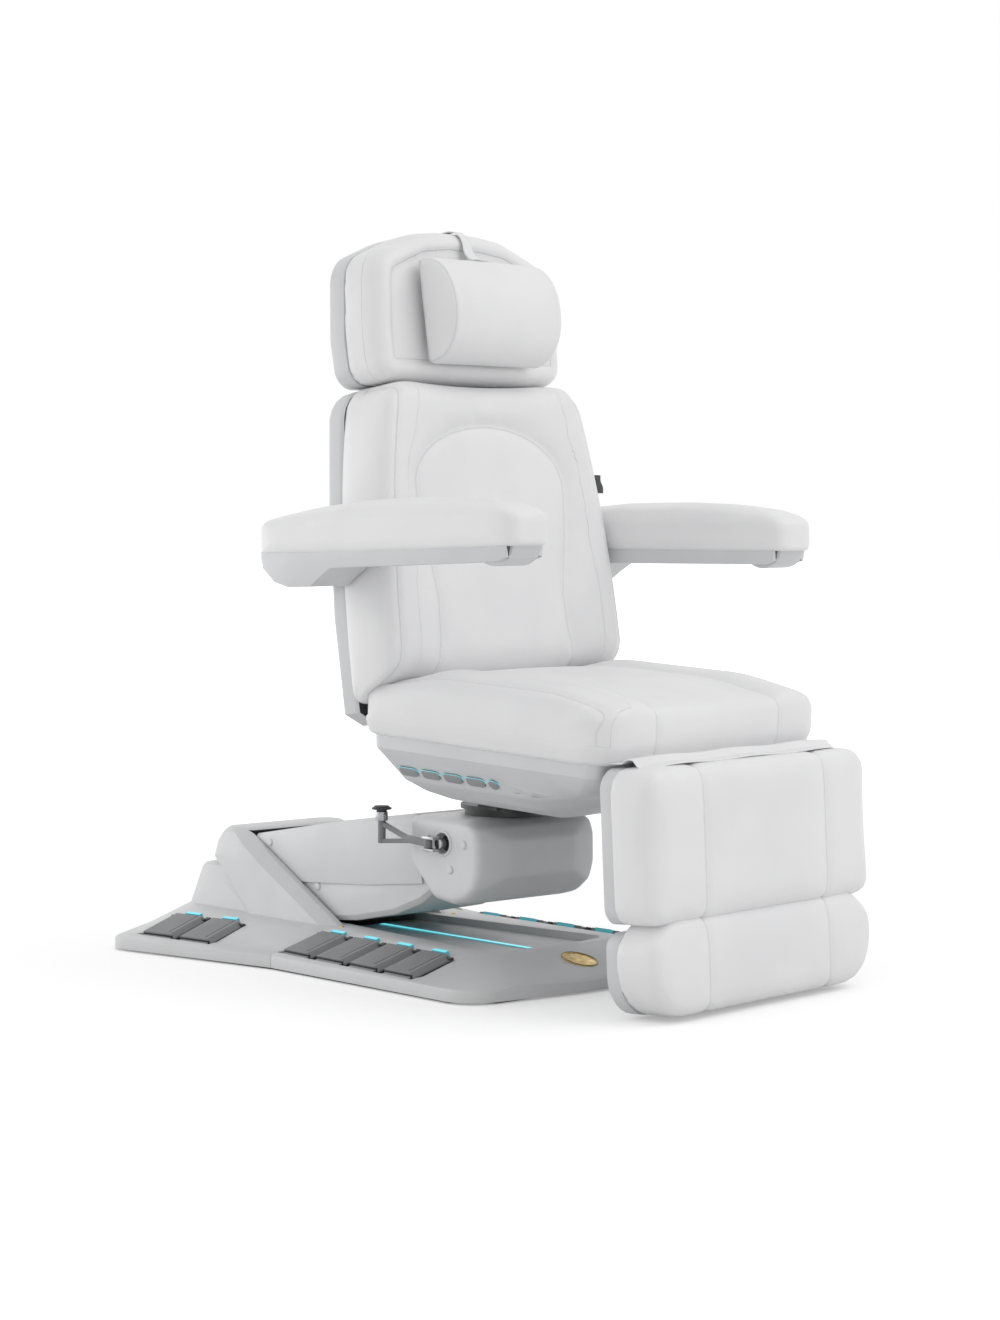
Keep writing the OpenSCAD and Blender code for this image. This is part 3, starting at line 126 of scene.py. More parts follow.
class Finish:
    """A material while it is being mixed: its shader, and one way to add a node."""

    def __init__(self, name, colour, roughness, metallic=0.0):
        self.material = bpy.data.materials.new(name)
        self.material.use_nodes = True
        self.tree = self.material.node_tree
        self.shader = self.tree.nodes["Principled BSDF"]
        self.set(**{"Base Color": (*colour, 1), "Roughness": roughness, "Metallic": metallic})

    def plug(self, socket, value):
        if isinstance(value, Amount):
            self.tree.links.new(value.socket, socket)
        else:
            socket.default_value = value

    def set(self, **values):
        for name, value in values.items():
            self.plug(self.shader.inputs[name], value)

    def node(self, kind, settings=None, inputs=None, output=0):
        made = self.tree.nodes.new("ShaderNode" + kind)
        for name, value in (settings or {}).items():
            setattr(made, name, value)
        for name, value in (inputs or {}).items():
            self.plug(made.inputs[name], value)
        return Amount(self, made.outputs[output])

    def place(self, space=None):
        """Object coordinates, or those of a piece's own space."""
        here = self.node("TexCoord", output=3)
        if space is None:
            return here
        return self.node(
            "Mapping",
            {"vector_type": "TEXTURE"},
            {"Vector": here, "Location": space.to_translation(), "Rotation": space.to_euler()},
        )

    def noise(self, place, scale, detail=3.0, roughness=0.5):
        inputs = {"Vector": place, "Scale": scale, "Detail": detail, "Roughness": roughness}
        return self.node("TexNoise", None, inputs)

    def between(self, value, low, high, to_low=0.0, to_high=1.0):
        """Value from low to high, eased, as a number from to_low to to_high."""
        return self.node(
            "MapRange",
            {"interpolation_type": "SMOOTHSTEP"},
            {"Value": value, "From Min": low, "From Max": high, "To Min": to_low, "To Max": to_high},
        )

    def tint(self, factor, one, two):
        """From colour one at factor 0 to colour two at factor 1."""
        one = one if isinstance(one, Amount) else (*one, 1)
        two = two if isinstance(two, Amount) else (*two, 1)
        return self.node("Mix", {"data_type": "RGBA"}, {0: factor, 6: one, 7: two}, output=2)

    def relief(self, height, depth, strength=1.0):
        bump = self.node("Bump", None, {"Height": height, "Distance": depth, "Strength": strength})
        self.set(Normal=bump)


def room():
    """The floor, which lights itself further out, and a white sky that is dimmer as a lamp."""
    bpy.ops.object.select_all(action="DESELECT")
    bpy.ops.mesh.primitive_plane_add(size=60, location=(0, 0, 0))
    floor = bpy.context.object
    floor.name = "floor"
    pale = Finish("pale_floor", (0.80, 0.80, 0.80), 0.9)
    seen = pale.node("LightPath", output=0)
    shiny = pale.node("LightPath", output=3)
    far = pale.node("VectorMath", {"operation": "LENGTH"}, {0: pale.place()}, output=1)
    glow_strength = pale.between(far, 1.6, 4.5, 0.30, 1.0)
    pale.set(**{
        "Emission Color": (1, 1, 1, 1),
        "Emission Strength": seen.higher(shiny) * glow_strength,
    })
    floor.data.materials.append(pale.material)

    world = bpy.data.worlds.new("studio")
    scene.world = world
    world.use_nodes = True
    nodes, links = world.node_tree.nodes, world.node_tree.links
    path = nodes.new("ShaderNodeLightPath")
    either = nodes.new("ShaderNodeMath")
    either.operation = "MAXIMUM"
    links.new(path.outputs["Is Camera Ray"], either.inputs[0])
    links.new(path.outputs["Is Glossy Ray"], either.inputs[1])
    strength = nodes.new("ShaderNodeMapRange")
    strength.inputs["To Min"].default_value = 0.77
    strength.inputs["To Max"].default_value = 1.0
    links.new(either.outputs[0], strength.inputs["Value"])
    nodes["Background"].inputs["Color"].default_value = (1, 1, 1, 1)
    links.new(strength.outputs["Result"], nodes["Background"].inputs["Strength"])


room()

# ---------------------------------------------------------------- base covers
# The base is two light grey moulded covers over a steel plate, with soft rounded edges where
# the mould draws. They meet at a seam beside the first pedals.


def only(piece):
    """Selects one object and nothing else."""
    bpy.ops.object.select_all(action="DESELECT")
    piece.select_set(True)
    bpy.context.view_layer.objects.active = piece


def modified(piece, kind, **settings):
    """Adds one modifier with these settings and applies it."""
    only(piece)
    modifier = piece.modifiers.new(kind.lower(), kind)
    for name, value in settings.items():
        setattr(modifier, name, value)
    bpy.ops.object.modifier_apply(modifier=modifier.name)
    return piece


def points(piece):
    """The places of a piece's vertices, one row each."""
    flat = np.empty(len(piece.data.vertices) * 3)
    piece.data.vertices.foreach_get("co", flat)
    return flat.reshape(-1, 3)


def normals(piece):
    """The directions of a piece's vertices, one row each."""
    flat = np.empty(len(piece.data.vertices) * 3)
    piece.data.vertices.foreach_get("normal", flat)
    return flat.reshape(-1, 3)


def move_points(piece, places):
    piece.data.vertices.foreach_set("co", places.ravel())
    piece.data.update()


def ease(value, low, high):
    """0 below low, 1 above high, smooth between."""
    t = np.clip((value - low) / (high - low), 0, 1)
    return t * t * (3 - 2 * t)


def copied(node):
    """A welded copy of a CAD node, as a new piece of the same shape."""
    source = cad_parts[node]
    piece = bpy.data.objects.new("shown_" + node, source.data.copy())
    piece.data.materials.clear()
    scene.collection.objects.link(piece)
    only(piece)
    if piece.data.has_custom_normals:
        bpy.ops.mesh.customdata_custom_splitnormals_clear()
    bpy.ops.object.mode_set(mode="EDIT")
    bpy.ops.mesh.select_all(action="SELECT")
    bpy.ops.mesh.remove_doubles(threshold=2e-5)
    bpy.ops.mesh.dissolve_limited(angle_limit=radians(0.5))
    bpy.ops.object.mode_set(mode="OBJECT")
    return piece


def finished(piece, finish, body, slot, *nodes):
    """Gives a piece its material and its body, and hides the CAD nodes that it stands for. Its slot is not
    used.
    """
    piece.data.materials.clear()
    piece.data.materials.append(finish.material)
    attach(piece, body)
    if nodes:
        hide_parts(*nodes)
    return piece


def moulded(node, radius, finish, body, slot, smooth=35):
    """A copy of a moulded part with its sharp edges rounded."""
    piece = copied(node)
    if radius:
        modified(
            piece, "BEVEL", width=radius, segments=3, limit_method="ANGLE",
            angle_limit=radians(28), use_clamp_overlap=True, harden_normals=False,
        )
    only(piece)
    bpy.ops.object.shade_smooth_by_angle(angle=radians(smooth))
    return finished(piece, finish, body, slot, node)


def softened(node, voxel, passes, finish, body, slot):
    """A copy of a moulded part whose corners all run into each other, as on a blow-moulded cover."""
    piece = copied(node)
    modified(piece, "REMESH", mode="VOXEL", voxel_size=voxel)
    modified(piece, "SMOOTH", factor=0.5, iterations=passes)
    only(piece)
    bpy.ops.object.shade_smooth()
    return finished(piece, finish, body, slot, node)


def moulded_plastic(name, colour, roughness, grain=0.00006):
    """Satin plastic with a fine spark-eroded grain and a little unevenness in its gloss."""
    finish = Finish(name, colour, roughness)
    here = finish.place()
    cloudy = finish.noise(here, 9.0)
    fine = finish.noise(here, 1400.0, 2.0)
    deeper = tuple(c * 0.965 for c in colour)
    finish.set(**{
        "Base Color": finish.tint(finish.between(cloudy, 0.35, 0.7), colour, deeper),
        "Roughness": finish.between(cloudy, 0.3, 0.75, roughness - 0.04, roughness + 0.05),
    })
    finish.relief(fine, grain)
    return finish


base_plastic = moulded_plastic("base_plastic", (0.64, 0.643, 0.65), 0.42)
for cover in ("rear_base_cover", "front_base_cover"):
    moulded(cover, 0.0020, base_plastic, "base", "base_shells")

# ---------------------------------------------------------------- painted contact shadow
# A black strip of 4 mm runs round the steel plate, and the covers stand on it. It is painted
# shade: it stands for the thin shadow line along the floor under the base's edge.
# Near-black plastic for the real black parts. It also serves as painted shade for the floor strip, the pedal
# bars, the swivel bearing and the turntable.
dark_plastic_and_painted_shade = moulded_plastic("dark_plastic_and_painted_shade", (0.03, 0.031, 0.034), 0.45)
# Painted shade: this black strip stands for the shadow where the base meets the floor
shade_strip_past_plate, shade_strip_low, shade_strip_high, base_middle = 0.0105, 0.0006, 0.0045, 0.2
shade_strip = copied("base_plate")
across, along, up = points(shade_strip).T.copy()
along -= base_middle
grow = 1 + shade_strip_past_plate / np.maximum(np.hypot(across, along), 0.1)
move_points(shade_strip, np.stack([across * grow, base_middle + along * grow, np.clip(up, shade_strip_low, shade_strip_high)], 1))
modified(shade_strip, "BEVEL", width=0.0008, segments=2, limit_method="ANGLE")
finished(shade_strip, dark_plastic_and_painted_shade, "base", "black_parts")

# ---------------------------------------------------------------- pedals
# Twelve foot pedals of dark moulded plastic in four rows, hinged at their rear edges. Along the
# outer edge of each runs a black bar, painted shade for the shadow under the pedal's edge, and
# past it a lower step in a paler grey.
pedal_rubber = moulded_plastic("pedal_plastic", (0.225, 0.227, 0.233), 0.5)
for side in ("right", "left"):
    for row, count in (("pedal", 4), ("rear_pedal", 2)):
        for number in range(1, count + 1):
            pedal = f"{row}_{side}_{number}"
            moulded(pedal, 0.0012, pedal_rubber, pedal + "_body", "pedals")


def bar(name, low, high, radius, space, finish, body, slot):
    """A straight bar between two corners, with rounded edges, in a space of its own."""
    bpy.ops.object.select_all(action="DESELECT")
    bpy.ops.mesh.primitive_cube_add(size=1)
    piece = bpy.context.object
    piece.name = name
    middle = (Vector(low) + Vector(high)) / 2
    size = Vector(high) - Vector(low)
    piece.data.transform(Matrix.Translation(middle) @ Matrix.Diagonal((*size, 1)))
    modified(piece, "BEVEL", width=radius, segments=3, limit_method="ANGLE")
    piece.data.transform(space)
    only(piece)
    bpy.ops.object.mode_set(mode="EDIT")
    bpy.ops.mesh.select_all(action="SELECT")
    bpy.ops.mesh.normals_make_consistent(inside=False)
    bpy.ops.object.mode_set(mode="OBJECT")
    bpy.ops.object.shade_smooth_by_angle(angle=radians(40))
    return finished(piece, finish, body, slot)


step_rubber = moulded_plastic("pedal_step_plastic", (0.33, 0.334, 0.34), 0.5)
row_height, row_slope, pedal_pitch = 0.0578, radians(16.65), 0.105
shade_bar_low, shade_bar_high = (0.0985, -0.040, -0.0035), (0.1008, 0.0415, 0.0038)
step_low, step_high = (0.0990, -0.036, -0.0035), (0.1110, 0.0405, 0.0002)
for row, count, across, first, splay in (
    ("pedal", 4, 0.199, 0.262, radians(2.2)), ("rear_pedal", 2, 0.254, 0.658, radians(-7.7)),
):
    for side, mirror in (("right", -1), ("left", 1)):
        for number in range(count):
            space = (
                Matrix.Diagonal((mirror, 1, 1, 1)) @ Matrix.Translation((across, first, row_height))
                @ Matrix.Rotation(splay, 4, "Z") @ Matrix.Rotation(row_slope, 4, "Y")
                @ Matrix.Translation((0, -pedal_pitch * number, 0))
            )
            pedal = f"{row}_{side}_{number + 1}"
            body = pedal + "_body"
            # The black bar is painted shade: it stands for the shadow under each pedal's outer edge.
            bar(pedal + "_shade_bar", shade_bar_low, shade_bar_high, 0.0005, space, dark_plastic_and_painted_shade, body, "black_parts")
            bar(pedal + "_step", step_low, step_high, 0.0012, space, step_rubber, body, "pedals")

# ---------------------------------------------------------------- lift arm and head
# The lift arm's links are hidden by two moulded plastic covers, one above the other. At its
# front end hangs the head, a blow-moulded housing with round corners that carries the chair.
arm_plastic = moulded_plastic("arm_plastic", (0.69, 0.693, 0.70), 0.42)
moulded("upper_arm_cover", 0.003, arm_plastic, "upper_arm", "base_shells")
moulded("lower_arm_cover", 0.003, arm_plastic, "lower_arm", "base_shells")
softened("head_housing", 0.0032, 26, arm_plastic, "head", "base_shells")

# ---------------------------------------------------------------- chair shells
# Each cushion is screwed to a grey moulded plastic shell. The seat's is a shallow bowl whose
# underside rises towards the leg rest's hinge. The chair stands turned on its swivel.
swivel_rest = radians(6.6)
turned = Matrix.Rotation(swivel_rest, 4, "Z")
seat_space = turned @ Matrix.Translation((0, 0, 0.468)) @ Matrix.Rotation(radians(3.2), 4, "X")
shell_plastic = moulded_plastic("shell_plastic", (0.65, 0.655, 0.664), 0.4)
seat_shell = copied("seat_shell")
modified(seat_shell, "BEVEL", width=0.007, segments=3, limit_method="ANGLE", angle_limit=radians(28))
modified(seat_shell, "TRIANGULATE")
modified(seat_shell, "SUBSURF", subdivision_type="SIMPLE", levels=2, render_levels=2)
seat_shell.data.transform(seat_space.inverted())
x, y, z = points(seat_shell).T.copy()
underside_rise = 0.040
z += underside_rise * ease(-z, 0.045, 0.130) * ease(-y, 0.28, 0.45)
move_points(seat_shell, np.stack([x, y, z], 1))
seat_shell.data.transform(seat_space)
only(seat_shell)
bpy.ops.object.shade_smooth_by_angle(angle=radians(60))
finished(seat_shell, shell_plastic, "seat", "chair_shells", "seat_shell")
for node, body in (
    ("back_shell", "back"), ("headrest_shell", "headrest"),
    ("leg_shell", "leg"), ("foot_shell", "foot"),
    ("armrest_shell_right", "armrest_right"), ("armrest_shell_left", "armrest_left"),
):
    moulded(node, 0.003, shell_plastic, body, "chair_shells", 40)

# ---------------------------------------------------------------- seat buttons
# Four oblong plastic buttons and a round one stand in a row in the seat shell's right flank,
# over a board whose light shows in the gaps round them.
button_plastic = moulded_plastic("button_plastic", (0.29, 0.294, 0.30), 0.4)
for number in range(1, 5):
    moulded(f"button_{number}", 0.0012, button_plastic, f"button_{number}_body", "buttons")
moulded("button_round", 0.0012, button_plastic, "button_round_body", "buttons")

# ---------------------------------------------------------------- frames, lever and lights
# Painted steel frames and bright rods carry the covers and cushions, mostly out of sight. The
# lock lever is a grey casting with a black knob. The base has a light strip and small windows.
steel_paint = moulded_plastic("steel_paint", (0.10, 0.103, 0.108), 0.5)
grey_cast = moulded_plastic("grey_cast", (0.19, 0.192, 0.197), 0.35)
bright_steel = Finish("bright_steel", (0.42, 0.425, 0.44), 0.22, 1.0)
steel_here = bright_steel.place()
steel_cloudy = bright_steel.between(bright_steel.noise(steel_here, 40.0), 0.35, 0.65)
bright_steel.set(**{
    "Base Color": bright_steel.tint(steel_cloudy, (0.42, 0.425, 0.44), (0.32, 0.325, 0.34)),
    "Roughness": bright_steel.between(bright_steel.noise(steel_here, 300.0), 0.3, 0.7, 0.18, 0.30),
})
glow = Finish("glow", (0.05, 0.10, 0.11), 0.4)
glow_cloudy = glow.between(glow.noise(glow.place(), 30.0), 0.35, 0.65)
glow.set(**{
    "Emission Color": glow.tint(glow_cloudy, (0.12, 0.62, 0.73), (0.20, 0.72, 0.80)),
    "Emission Strength": 0.95,
})
# The base's windows shine upwards: their sides are dimmer
window = Finish("window", (0.04, 0.06, 0.065), 0.35)
window_up = window.node("SeparateXYZ", None, {0: window.node("TexCoord", output=1)}, output=2)
window_top = window.between(window_up, 0.75, 0.93)
window.set(**{
    "Emission Color": window.tint(window_top, (0.04, 0.24, 0.28), (0.14, 0.68, 0.78)),
    "Emission Strength": 1.05,
})
moulded("lock_lever", 0.001, grey_cast, "lever", "lever")
moulded("lever_fittings", 0.0008, bright_steel, "lever", "bright_parts")
moulded("lever_knob", 0.0012, dark_plastic_and_painted_shade, "knob", "black_parts")
for node, body, finish, slot in (
    ("base_plate", "base", steel_paint, "steel_parts"),
    ("tower_frame", "base", steel_paint, "steel_parts"),
    ("control_box", "base", dark_plastic_and_painted_shade, "black_parts"),
    ("pedal_hinges", "base", dark_plastic_and_painted_shade, "black_parts"),
    ("base_lights", "base", window, "lights"),
    ("lift_motor", "lift_motor_body", dark_plastic_and_painted_shade, "black_parts"),
    ("lift_rod", "lift_rod_body", bright_steel, "bright_parts"),
    ("upper_link", "upper_arm", steel_paint, "steel_parts"),
    ("lower_link", "lower_arm", steel_paint, "steel_parts"),
    ("head_block", "head", steel_paint, "steel_parts"),
    # The swivel bearing and the turntable are near black as painted shade: they stand for the shadow in the
    # gap between the head and the seat shell.
    ("swivel_bearing", "head", dark_plastic_and_painted_shade, "bearing"),
    ("turntable", "turntable_body", dark_plastic_and_painted_shade, "steel_parts"),
    ("seat_frame", "seat", steel_paint, "steel_parts"),
    ("button_board", "seat", glow, "lights"),
    ("back_frame", "back", shell_plastic, "chair_shells"),
    ("headrest_posts", "headrest", bright_steel, "bright_parts"),
    ("leg_frame", "leg", steel_paint, "steel_parts"),
    ("foot_rails", "foot", bright_steel, "bright_parts"),
):
    moulded(node, 0.0, finish, body, slot, 30)

# ---------------------------------------------------------------- trim
# Small fittings pressed into the covers: domed screw caps, the lever's socket with its ring, and
# a blank gilt medallion with two studs. Thin lit rims show round the buttons.


def disc(name, radius, height, roll, stretch=1.0):
    """A low round piece that stands on Z 0, with a rolled upper edge."""
    bpy.ops.object.select_all(action="DESELECT")
    bpy.ops.mesh.primitive_circle_add(vertices=48, radius=radius, fill_type="NGON")
    piece = bpy.context.object
    piece.name = name
    bpy.ops.object.mode_set(mode="EDIT")
    bpy.ops.mesh.select_all(action="SELECT")
    bpy.ops.mesh.extrude_region_move(TRANSFORM_OT_translate={"value": (0, 0, height)})
    bpy.ops.mesh.select_mode(type="EDGE")
    bpy.ops.mesh.region_to_loop()
    bpy.ops.mesh.bevel(offset=roll, segments=5, profile=0.5, clamp_overlap=True)
    bpy.ops.mesh.select_all(action="SELECT")
    bpy.ops.mesh.normals_make_consistent(inside=False)
    bpy.ops.object.mode_set(mode="OBJECT")
    piece.data.transform(Matrix.Diagonal((1, stretch, 1, 1)))
    return piece


def placed(piece, place, facing, finish, body, slot):
    """Stands a small piece on a surface and finishes it."""
    turn = Vector(facing).to_track_quat("Z", "Y").to_matrix().to_4x4()
    piece.data.transform(Matrix.Translation(place) @ turn)
    only(piece)
    bpy.ops.object.shade_smooth_by_angle(angle=radians(40))
    return finished(piece, finish, body, slot)


def hoop(name, radius, thickness):
    """A round ring that lies on Z 0."""
    bpy.ops.object.select_all(action="DESELECT")
    bpy.ops.mesh.primitive_torus_add(
        major_radius=radius, minor_radius=thickness, major_segments=64, minor_segments=16
    )
    piece = bpy.context.object
    piece.name = name
    return piece


for name, body, across, y, z in (
    ("arm_cap", "upper_arm", 0.124, 0.5743, 0.2055),
    ("skirt_cap", "lower_arm", 0.119, 0.4253, 0.130),
    ("head_cap_front", "head", 0.151, -0.0513, 0.2546),
    ("head_cap_low", "head", 0.151, -0.0131, 0.2053),
):
    for side, label in ((-1, "right"), (1, "left")):
        cap = disc(f"{name}_{label}", 0.0085, 0.0032, 0.0028)
        placed(cap, (side * across, y, z), (side, 0, 0), arm_plastic, body, "base_shells")

# The lever's socket: a dark well in the right cheek with a raised ring round it
socket_place = (-0.151, 0.008, 0.253)
well = disc("socket_well", 0.0186, 0.0010, 0.0004)
placed(well, (-0.1385, *socket_place[1:]), (-1, 0, 0), dark_plastic_and_painted_shade, "head", "black_parts")
ring = hoop("socket_ring", 0.0222, 0.0032)
ring.data.transform(Matrix.Diagonal((1, 1, 0.7, 1)))
placed(ring, socket_place, (-1, 0, 0), arm_plastic, "head", "base_shells")

gilt = Finish("gilt", (0.78, 0.58, 0.24), 0.30, 1.0)
gilt_here = gilt.place()
gilt_worn = gilt.between(gilt.noise(gilt_here, 60.0), 0.4, 0.6)
gilt.set(**{
    "Base Color": gilt.tint(gilt_worn, (0.78, 0.58, 0.24), (0.60, 0.43, 0.16)),
    "Roughness": gilt.between(gilt.noise(gilt_here, 90.0), 0.3, 0.7, 0.24, 0.42),
})
gilt.relief(gilt.noise(gilt_here, 140.0, 2.0), 0.0010)
medallion_place, medallion_facing = (-0.016, -0.222, 0.0463), (0, -0.227, 0.974)
medallion_radius, medallion_height, medallion_stretch = 0.031, 0.0024, 1.18
medallion = disc("medallion", medallion_radius, medallion_height, 0.0010, medallion_stretch)
only(medallion)
bpy.ops.object.mode_set(mode="EDIT")
bpy.ops.mesh.select_mode(type="FACE")
bpy.ops.mesh.select_all(action="DESELECT")
bpy.ops.object.mode_set(mode="OBJECT")
for face in medallion.data.polygons:
    face.select = face.normal.z > 0.99 and len(face.vertices) > 8 and face.center.z > 0.001
bpy.ops.object.mode_set(mode="EDIT")
bpy.ops.mesh.inset(thickness=0.0028, depth=-0.0012)
bpy.ops.mesh.inset(thickness=0.0010, depth=0)
bpy.ops.mesh.inset(thickness=0.0120, depth=0.0010)
bpy.ops.object.mode_set(mode="OBJECT")
placed(medallion, medallion_place, medallion_facing, gilt, "base", "bright_parts")
dark_gilt = moulded_plastic("dark_gilt", (0.20, 0.13, 0.04), 0.4)
rim = hoop("medallion_rim", medallion_radius - 0.0005, 0.0009)
rim.data.transform(Matrix.Diagonal((1, medallion_stretch, 1, 1)))
rim.data.transform(Matrix.Translation((0, 0, medallion_height - 0.0002)))
placed(rim, medallion_place, medallion_facing, dark_gilt, "base", "bright_parts")
for side, label in ((-1, "right"), (1, "left")):
    stud = disc(f"deck_stud_{label}", 0.0042, 0.0018, 0.0014)
    placed(stud, (side * 0.1447, 0.3174, 0.062), (0, 0, 1), gilt, "base", "bright_parts")


def around(circles, count):
    """The line drawn tight round some circles (x, y, radius), as evenly spaced points."""
    steps = np.linspace(0, 2 * np.pi, 97)[:-1]
    cloud = [(x + r * np.cos(a), y + r * np.sin(a)) for x, y, r in circles for a in steps]
    line = np.array([cloud[i] for i in geometry.convex_hull_2d(cloud)])
    line = np.vstack([line, line[:1]])
    run = np.concatenate([[0], np.cumsum(np.hypot(*np.diff(line, axis=0).T))])
    at = np.linspace(0, run[-1], count + 1)[:-1]
    return np.stack([np.interp(at, run, line[:, 0]), np.interp(at, run, line[:, 1])], 1)


def lit_rim(name, half_x, half_y, corner, flank):
    """A thin lit ring that shows round a button, most at its upper edge."""
    in_x, in_y = half_x - corner, half_y - corner
    corners = [(side * in_x, end * in_y, corner) for side in (-1, 1) for end in (-1, 1)]
    outline = around(corners, 64)
    bpy.ops.object.select_all(action="DESELECT")
    bpy.ops.mesh.primitive_circle_add(vertices=len(outline), fill_type="NGON")
    piece = bpy.context.object
    piece.name = name
    for vertex, (across, up) in zip(piece.data.vertices, outline):
        vertex.co = (across, up, 0)
    bpy.ops.object.mode_set(mode="EDIT")
    bpy.ops.mesh.select_all(action="SELECT")
    bpy.ops.mesh.inset(thickness=0.0016, depth=0)
    bpy.ops.mesh.delete(type="FACE")
    bpy.ops.object.mode_set(mode="OBJECT")
    modified(piece, "SOLIDIFY", thickness=0.0006, offset=0)
    piece.data.transform(flank)
    return finished(piece, glow, "seat", "lights")


flank_angle = np.arctan2(0.045, 0.060)
button_first, button_pitch, round_button_back = -0.012, 0.055, 0.012
for number in range(5):
    along = button_first - button_pitch * number + (round_button_back if number == 4 else 0)
    flank = (
        seat_space @ Matrix.Translation((-0.2753, along, -0.0676))
        @ Matrix.Rotation(flank_angle - radians(180), 4, "Y") @ Matrix.Rotation(radians(90), 4, "Z")
        @ Matrix.Translation((-0.0004, 0.0008, 0.0004))
    )
    if number < 4:
        lit_rim(f"button_{number + 1}_rim", 0.0230, 0.0120, 0.008, flank)
    else:
        lit_rim("button_round_rim", 0.0127, 0.0127, 0.0126, flank)

# ---------------------------------------------------------------- upholstery
# Foam cushions in white leatherette: sewn covers whose panels swell between their seams. Each is
# held to its shell from behind, so that the foam swells forwards and sideways only.


def leatherette(name):
    """White leatherette: a fine pebbled grain, a soft sheen, and its seams as thin stitched lines."""
    white, shade = (0.825, 0.825, 0.83), (0.79, 0.79, 0.80)
    finish = Finish(name, white, 0.46)
    here = finish.place()
    seam = finish.node("Attribute", {"attribute_name": "seam"}, None, 2)
    cloudy = finish.noise(here, 5.0)
    pebbles = finish.node("TexVoronoi", {"feature": "SMOOTH_F1"}, {"Vector": here, "Scale": 700.0})
    line = 1 - finish.between(abs(seam), 0.0004, 0.0018)
    puckers = (1 - finish.between(abs(seam), 0.002, 0.024)) * finish.noise(here, 55.0, 2.0)
    skin = finish.tint(finish.between(cloudy, 0.35, 0.7), white, shade)
    finish.set(**{
        "Base Color": finish.tint(line * 0.16, skin, (0.42, 0.42, 0.43)),
        "Roughness": finish.between(cloudy, 0.3, 0.75, 0.42, 0.50),
    })
    finish.relief(pebbles * 0.25 + puckers * 1.4 - line * 1.2, 0.0006)
    return finish


white_leatherette = leatherette("white_leatherette")


def boxed(half, low, high, low_r, high_r):
    """Circles at the corners of a rectangle with its own radii below and above."""
    return [
        (side * (half - r), level, r) for side in (-1, 1)
        for level, r in ((low + low_r, low_r), (high - high_r, high_r))
    ]


def slab(name, outline, depth, front_roll, rear_roll, segments=8, sunk=0.006):
    """A block of foam with rolled edges: outline in X and Z, front at Y -depth, rear sunk past Y 0."""
    bpy.ops.object.select_all(action="DESELECT")
    bpy.ops.mesh.primitive_circle_add(vertices=len(outline), fill_type="NGON")
    piece = bpy.context.object
    piece.name = name
    for vertex, (across, up) in zip(piece.data.vertices, outline):
        vertex.co = (across, sunk, up)
    bpy.ops.object.mode_set(mode="EDIT")
    bpy.ops.mesh.select_all(action="SELECT")
    bpy.ops.mesh.extrude_region_move(TRANSFORM_OT_translate={"value": (0, -depth - sunk, 0)})
    bpy.ops.mesh.select_mode(type="EDGE")
    for level, roll in ((-depth, front_roll), (sunk, rear_roll)):
        bpy.ops.mesh.select_all(action="DESELECT")
        bpy.ops.object.mode_set(mode="OBJECT")
        at_level = [abs(v.co.y - level) < 1e-6 for v in piece.data.vertices]
        for edge in piece.data.edges:
            edge.select = all(at_level[v] for v in edge.vertices)
        bpy.ops.object.mode_set(mode="EDIT")
        bpy.ops.mesh.bevel(offset=roll, segments=segments, profile=0.5, clamp_overlap=True)
    bpy.ops.mesh.select_all(action="SELECT")
    bpy.ops.mesh.normals_make_consistent(inside=False)
    bpy.ops.object.mode_set(mode="OBJECT")
    return piece


def no_seam(place):
    """Stands for the seams of a cushion that shows none."""
    return np.full(len(place), 0.05)


def nearest(*distances):
    """The signed distance that is smallest in size, point by point, at most 50 mm."""
    table = np.stack([np.clip(d, -0.05, 0.05) for d in distances])
    pick = np.abs(table).argmin(0)
    return table[pick, np.arange(table.shape[1])]


def stuffed(piece, held, swell, pressure):
    """Cloth under pressure from within, held where it is sewn or glued, up to a stated swell."""
    start = points(piece)
    sewn = piece.vertex_groups.new(name="sewn")
    sewn.add(np.nonzero(held)[0].tolist(), 1.0, "REPLACE")
    only(piece)
    cloth = piece.modifiers.new("filling", "CLOTH")
    cloth.settings.quality = 3
    cloth.settings.mass = 0.3
    cloth.settings.tension_stiffness = 10
    cloth.settings.compression_stiffness = 10
    cloth.settings.shear_stiffness = 5
    cloth.settings.bending_stiffness = 2
    cloth.settings.use_pressure = True
    cloth.settings.uniform_pressure_force = pressure
    cloth.settings.vertex_group_mass = "sewn"
    cloth.settings.effector_weights.gravity = 0
    cloth.collision_settings.use_collision = False
    last = 14
    cloth.point_cache.frame_end = last
    for moment in range(1, last + 1):
        scene.frame_set(moment)
    bpy.ops.object.modifier_apply(modifier=cloth.name)
    scene.frame_set(1)
    piece.vertex_groups.clear()
    moved = points(piece) - start
    length = np.maximum(np.linalg.norm(moved, axis=1), 1e-9)
    move_points(piece, start + moved * (swell * np.tanh(length / swell) / length)[:, None])
    modified(piece, "SMOOTH", factor=0.5, iterations=2)


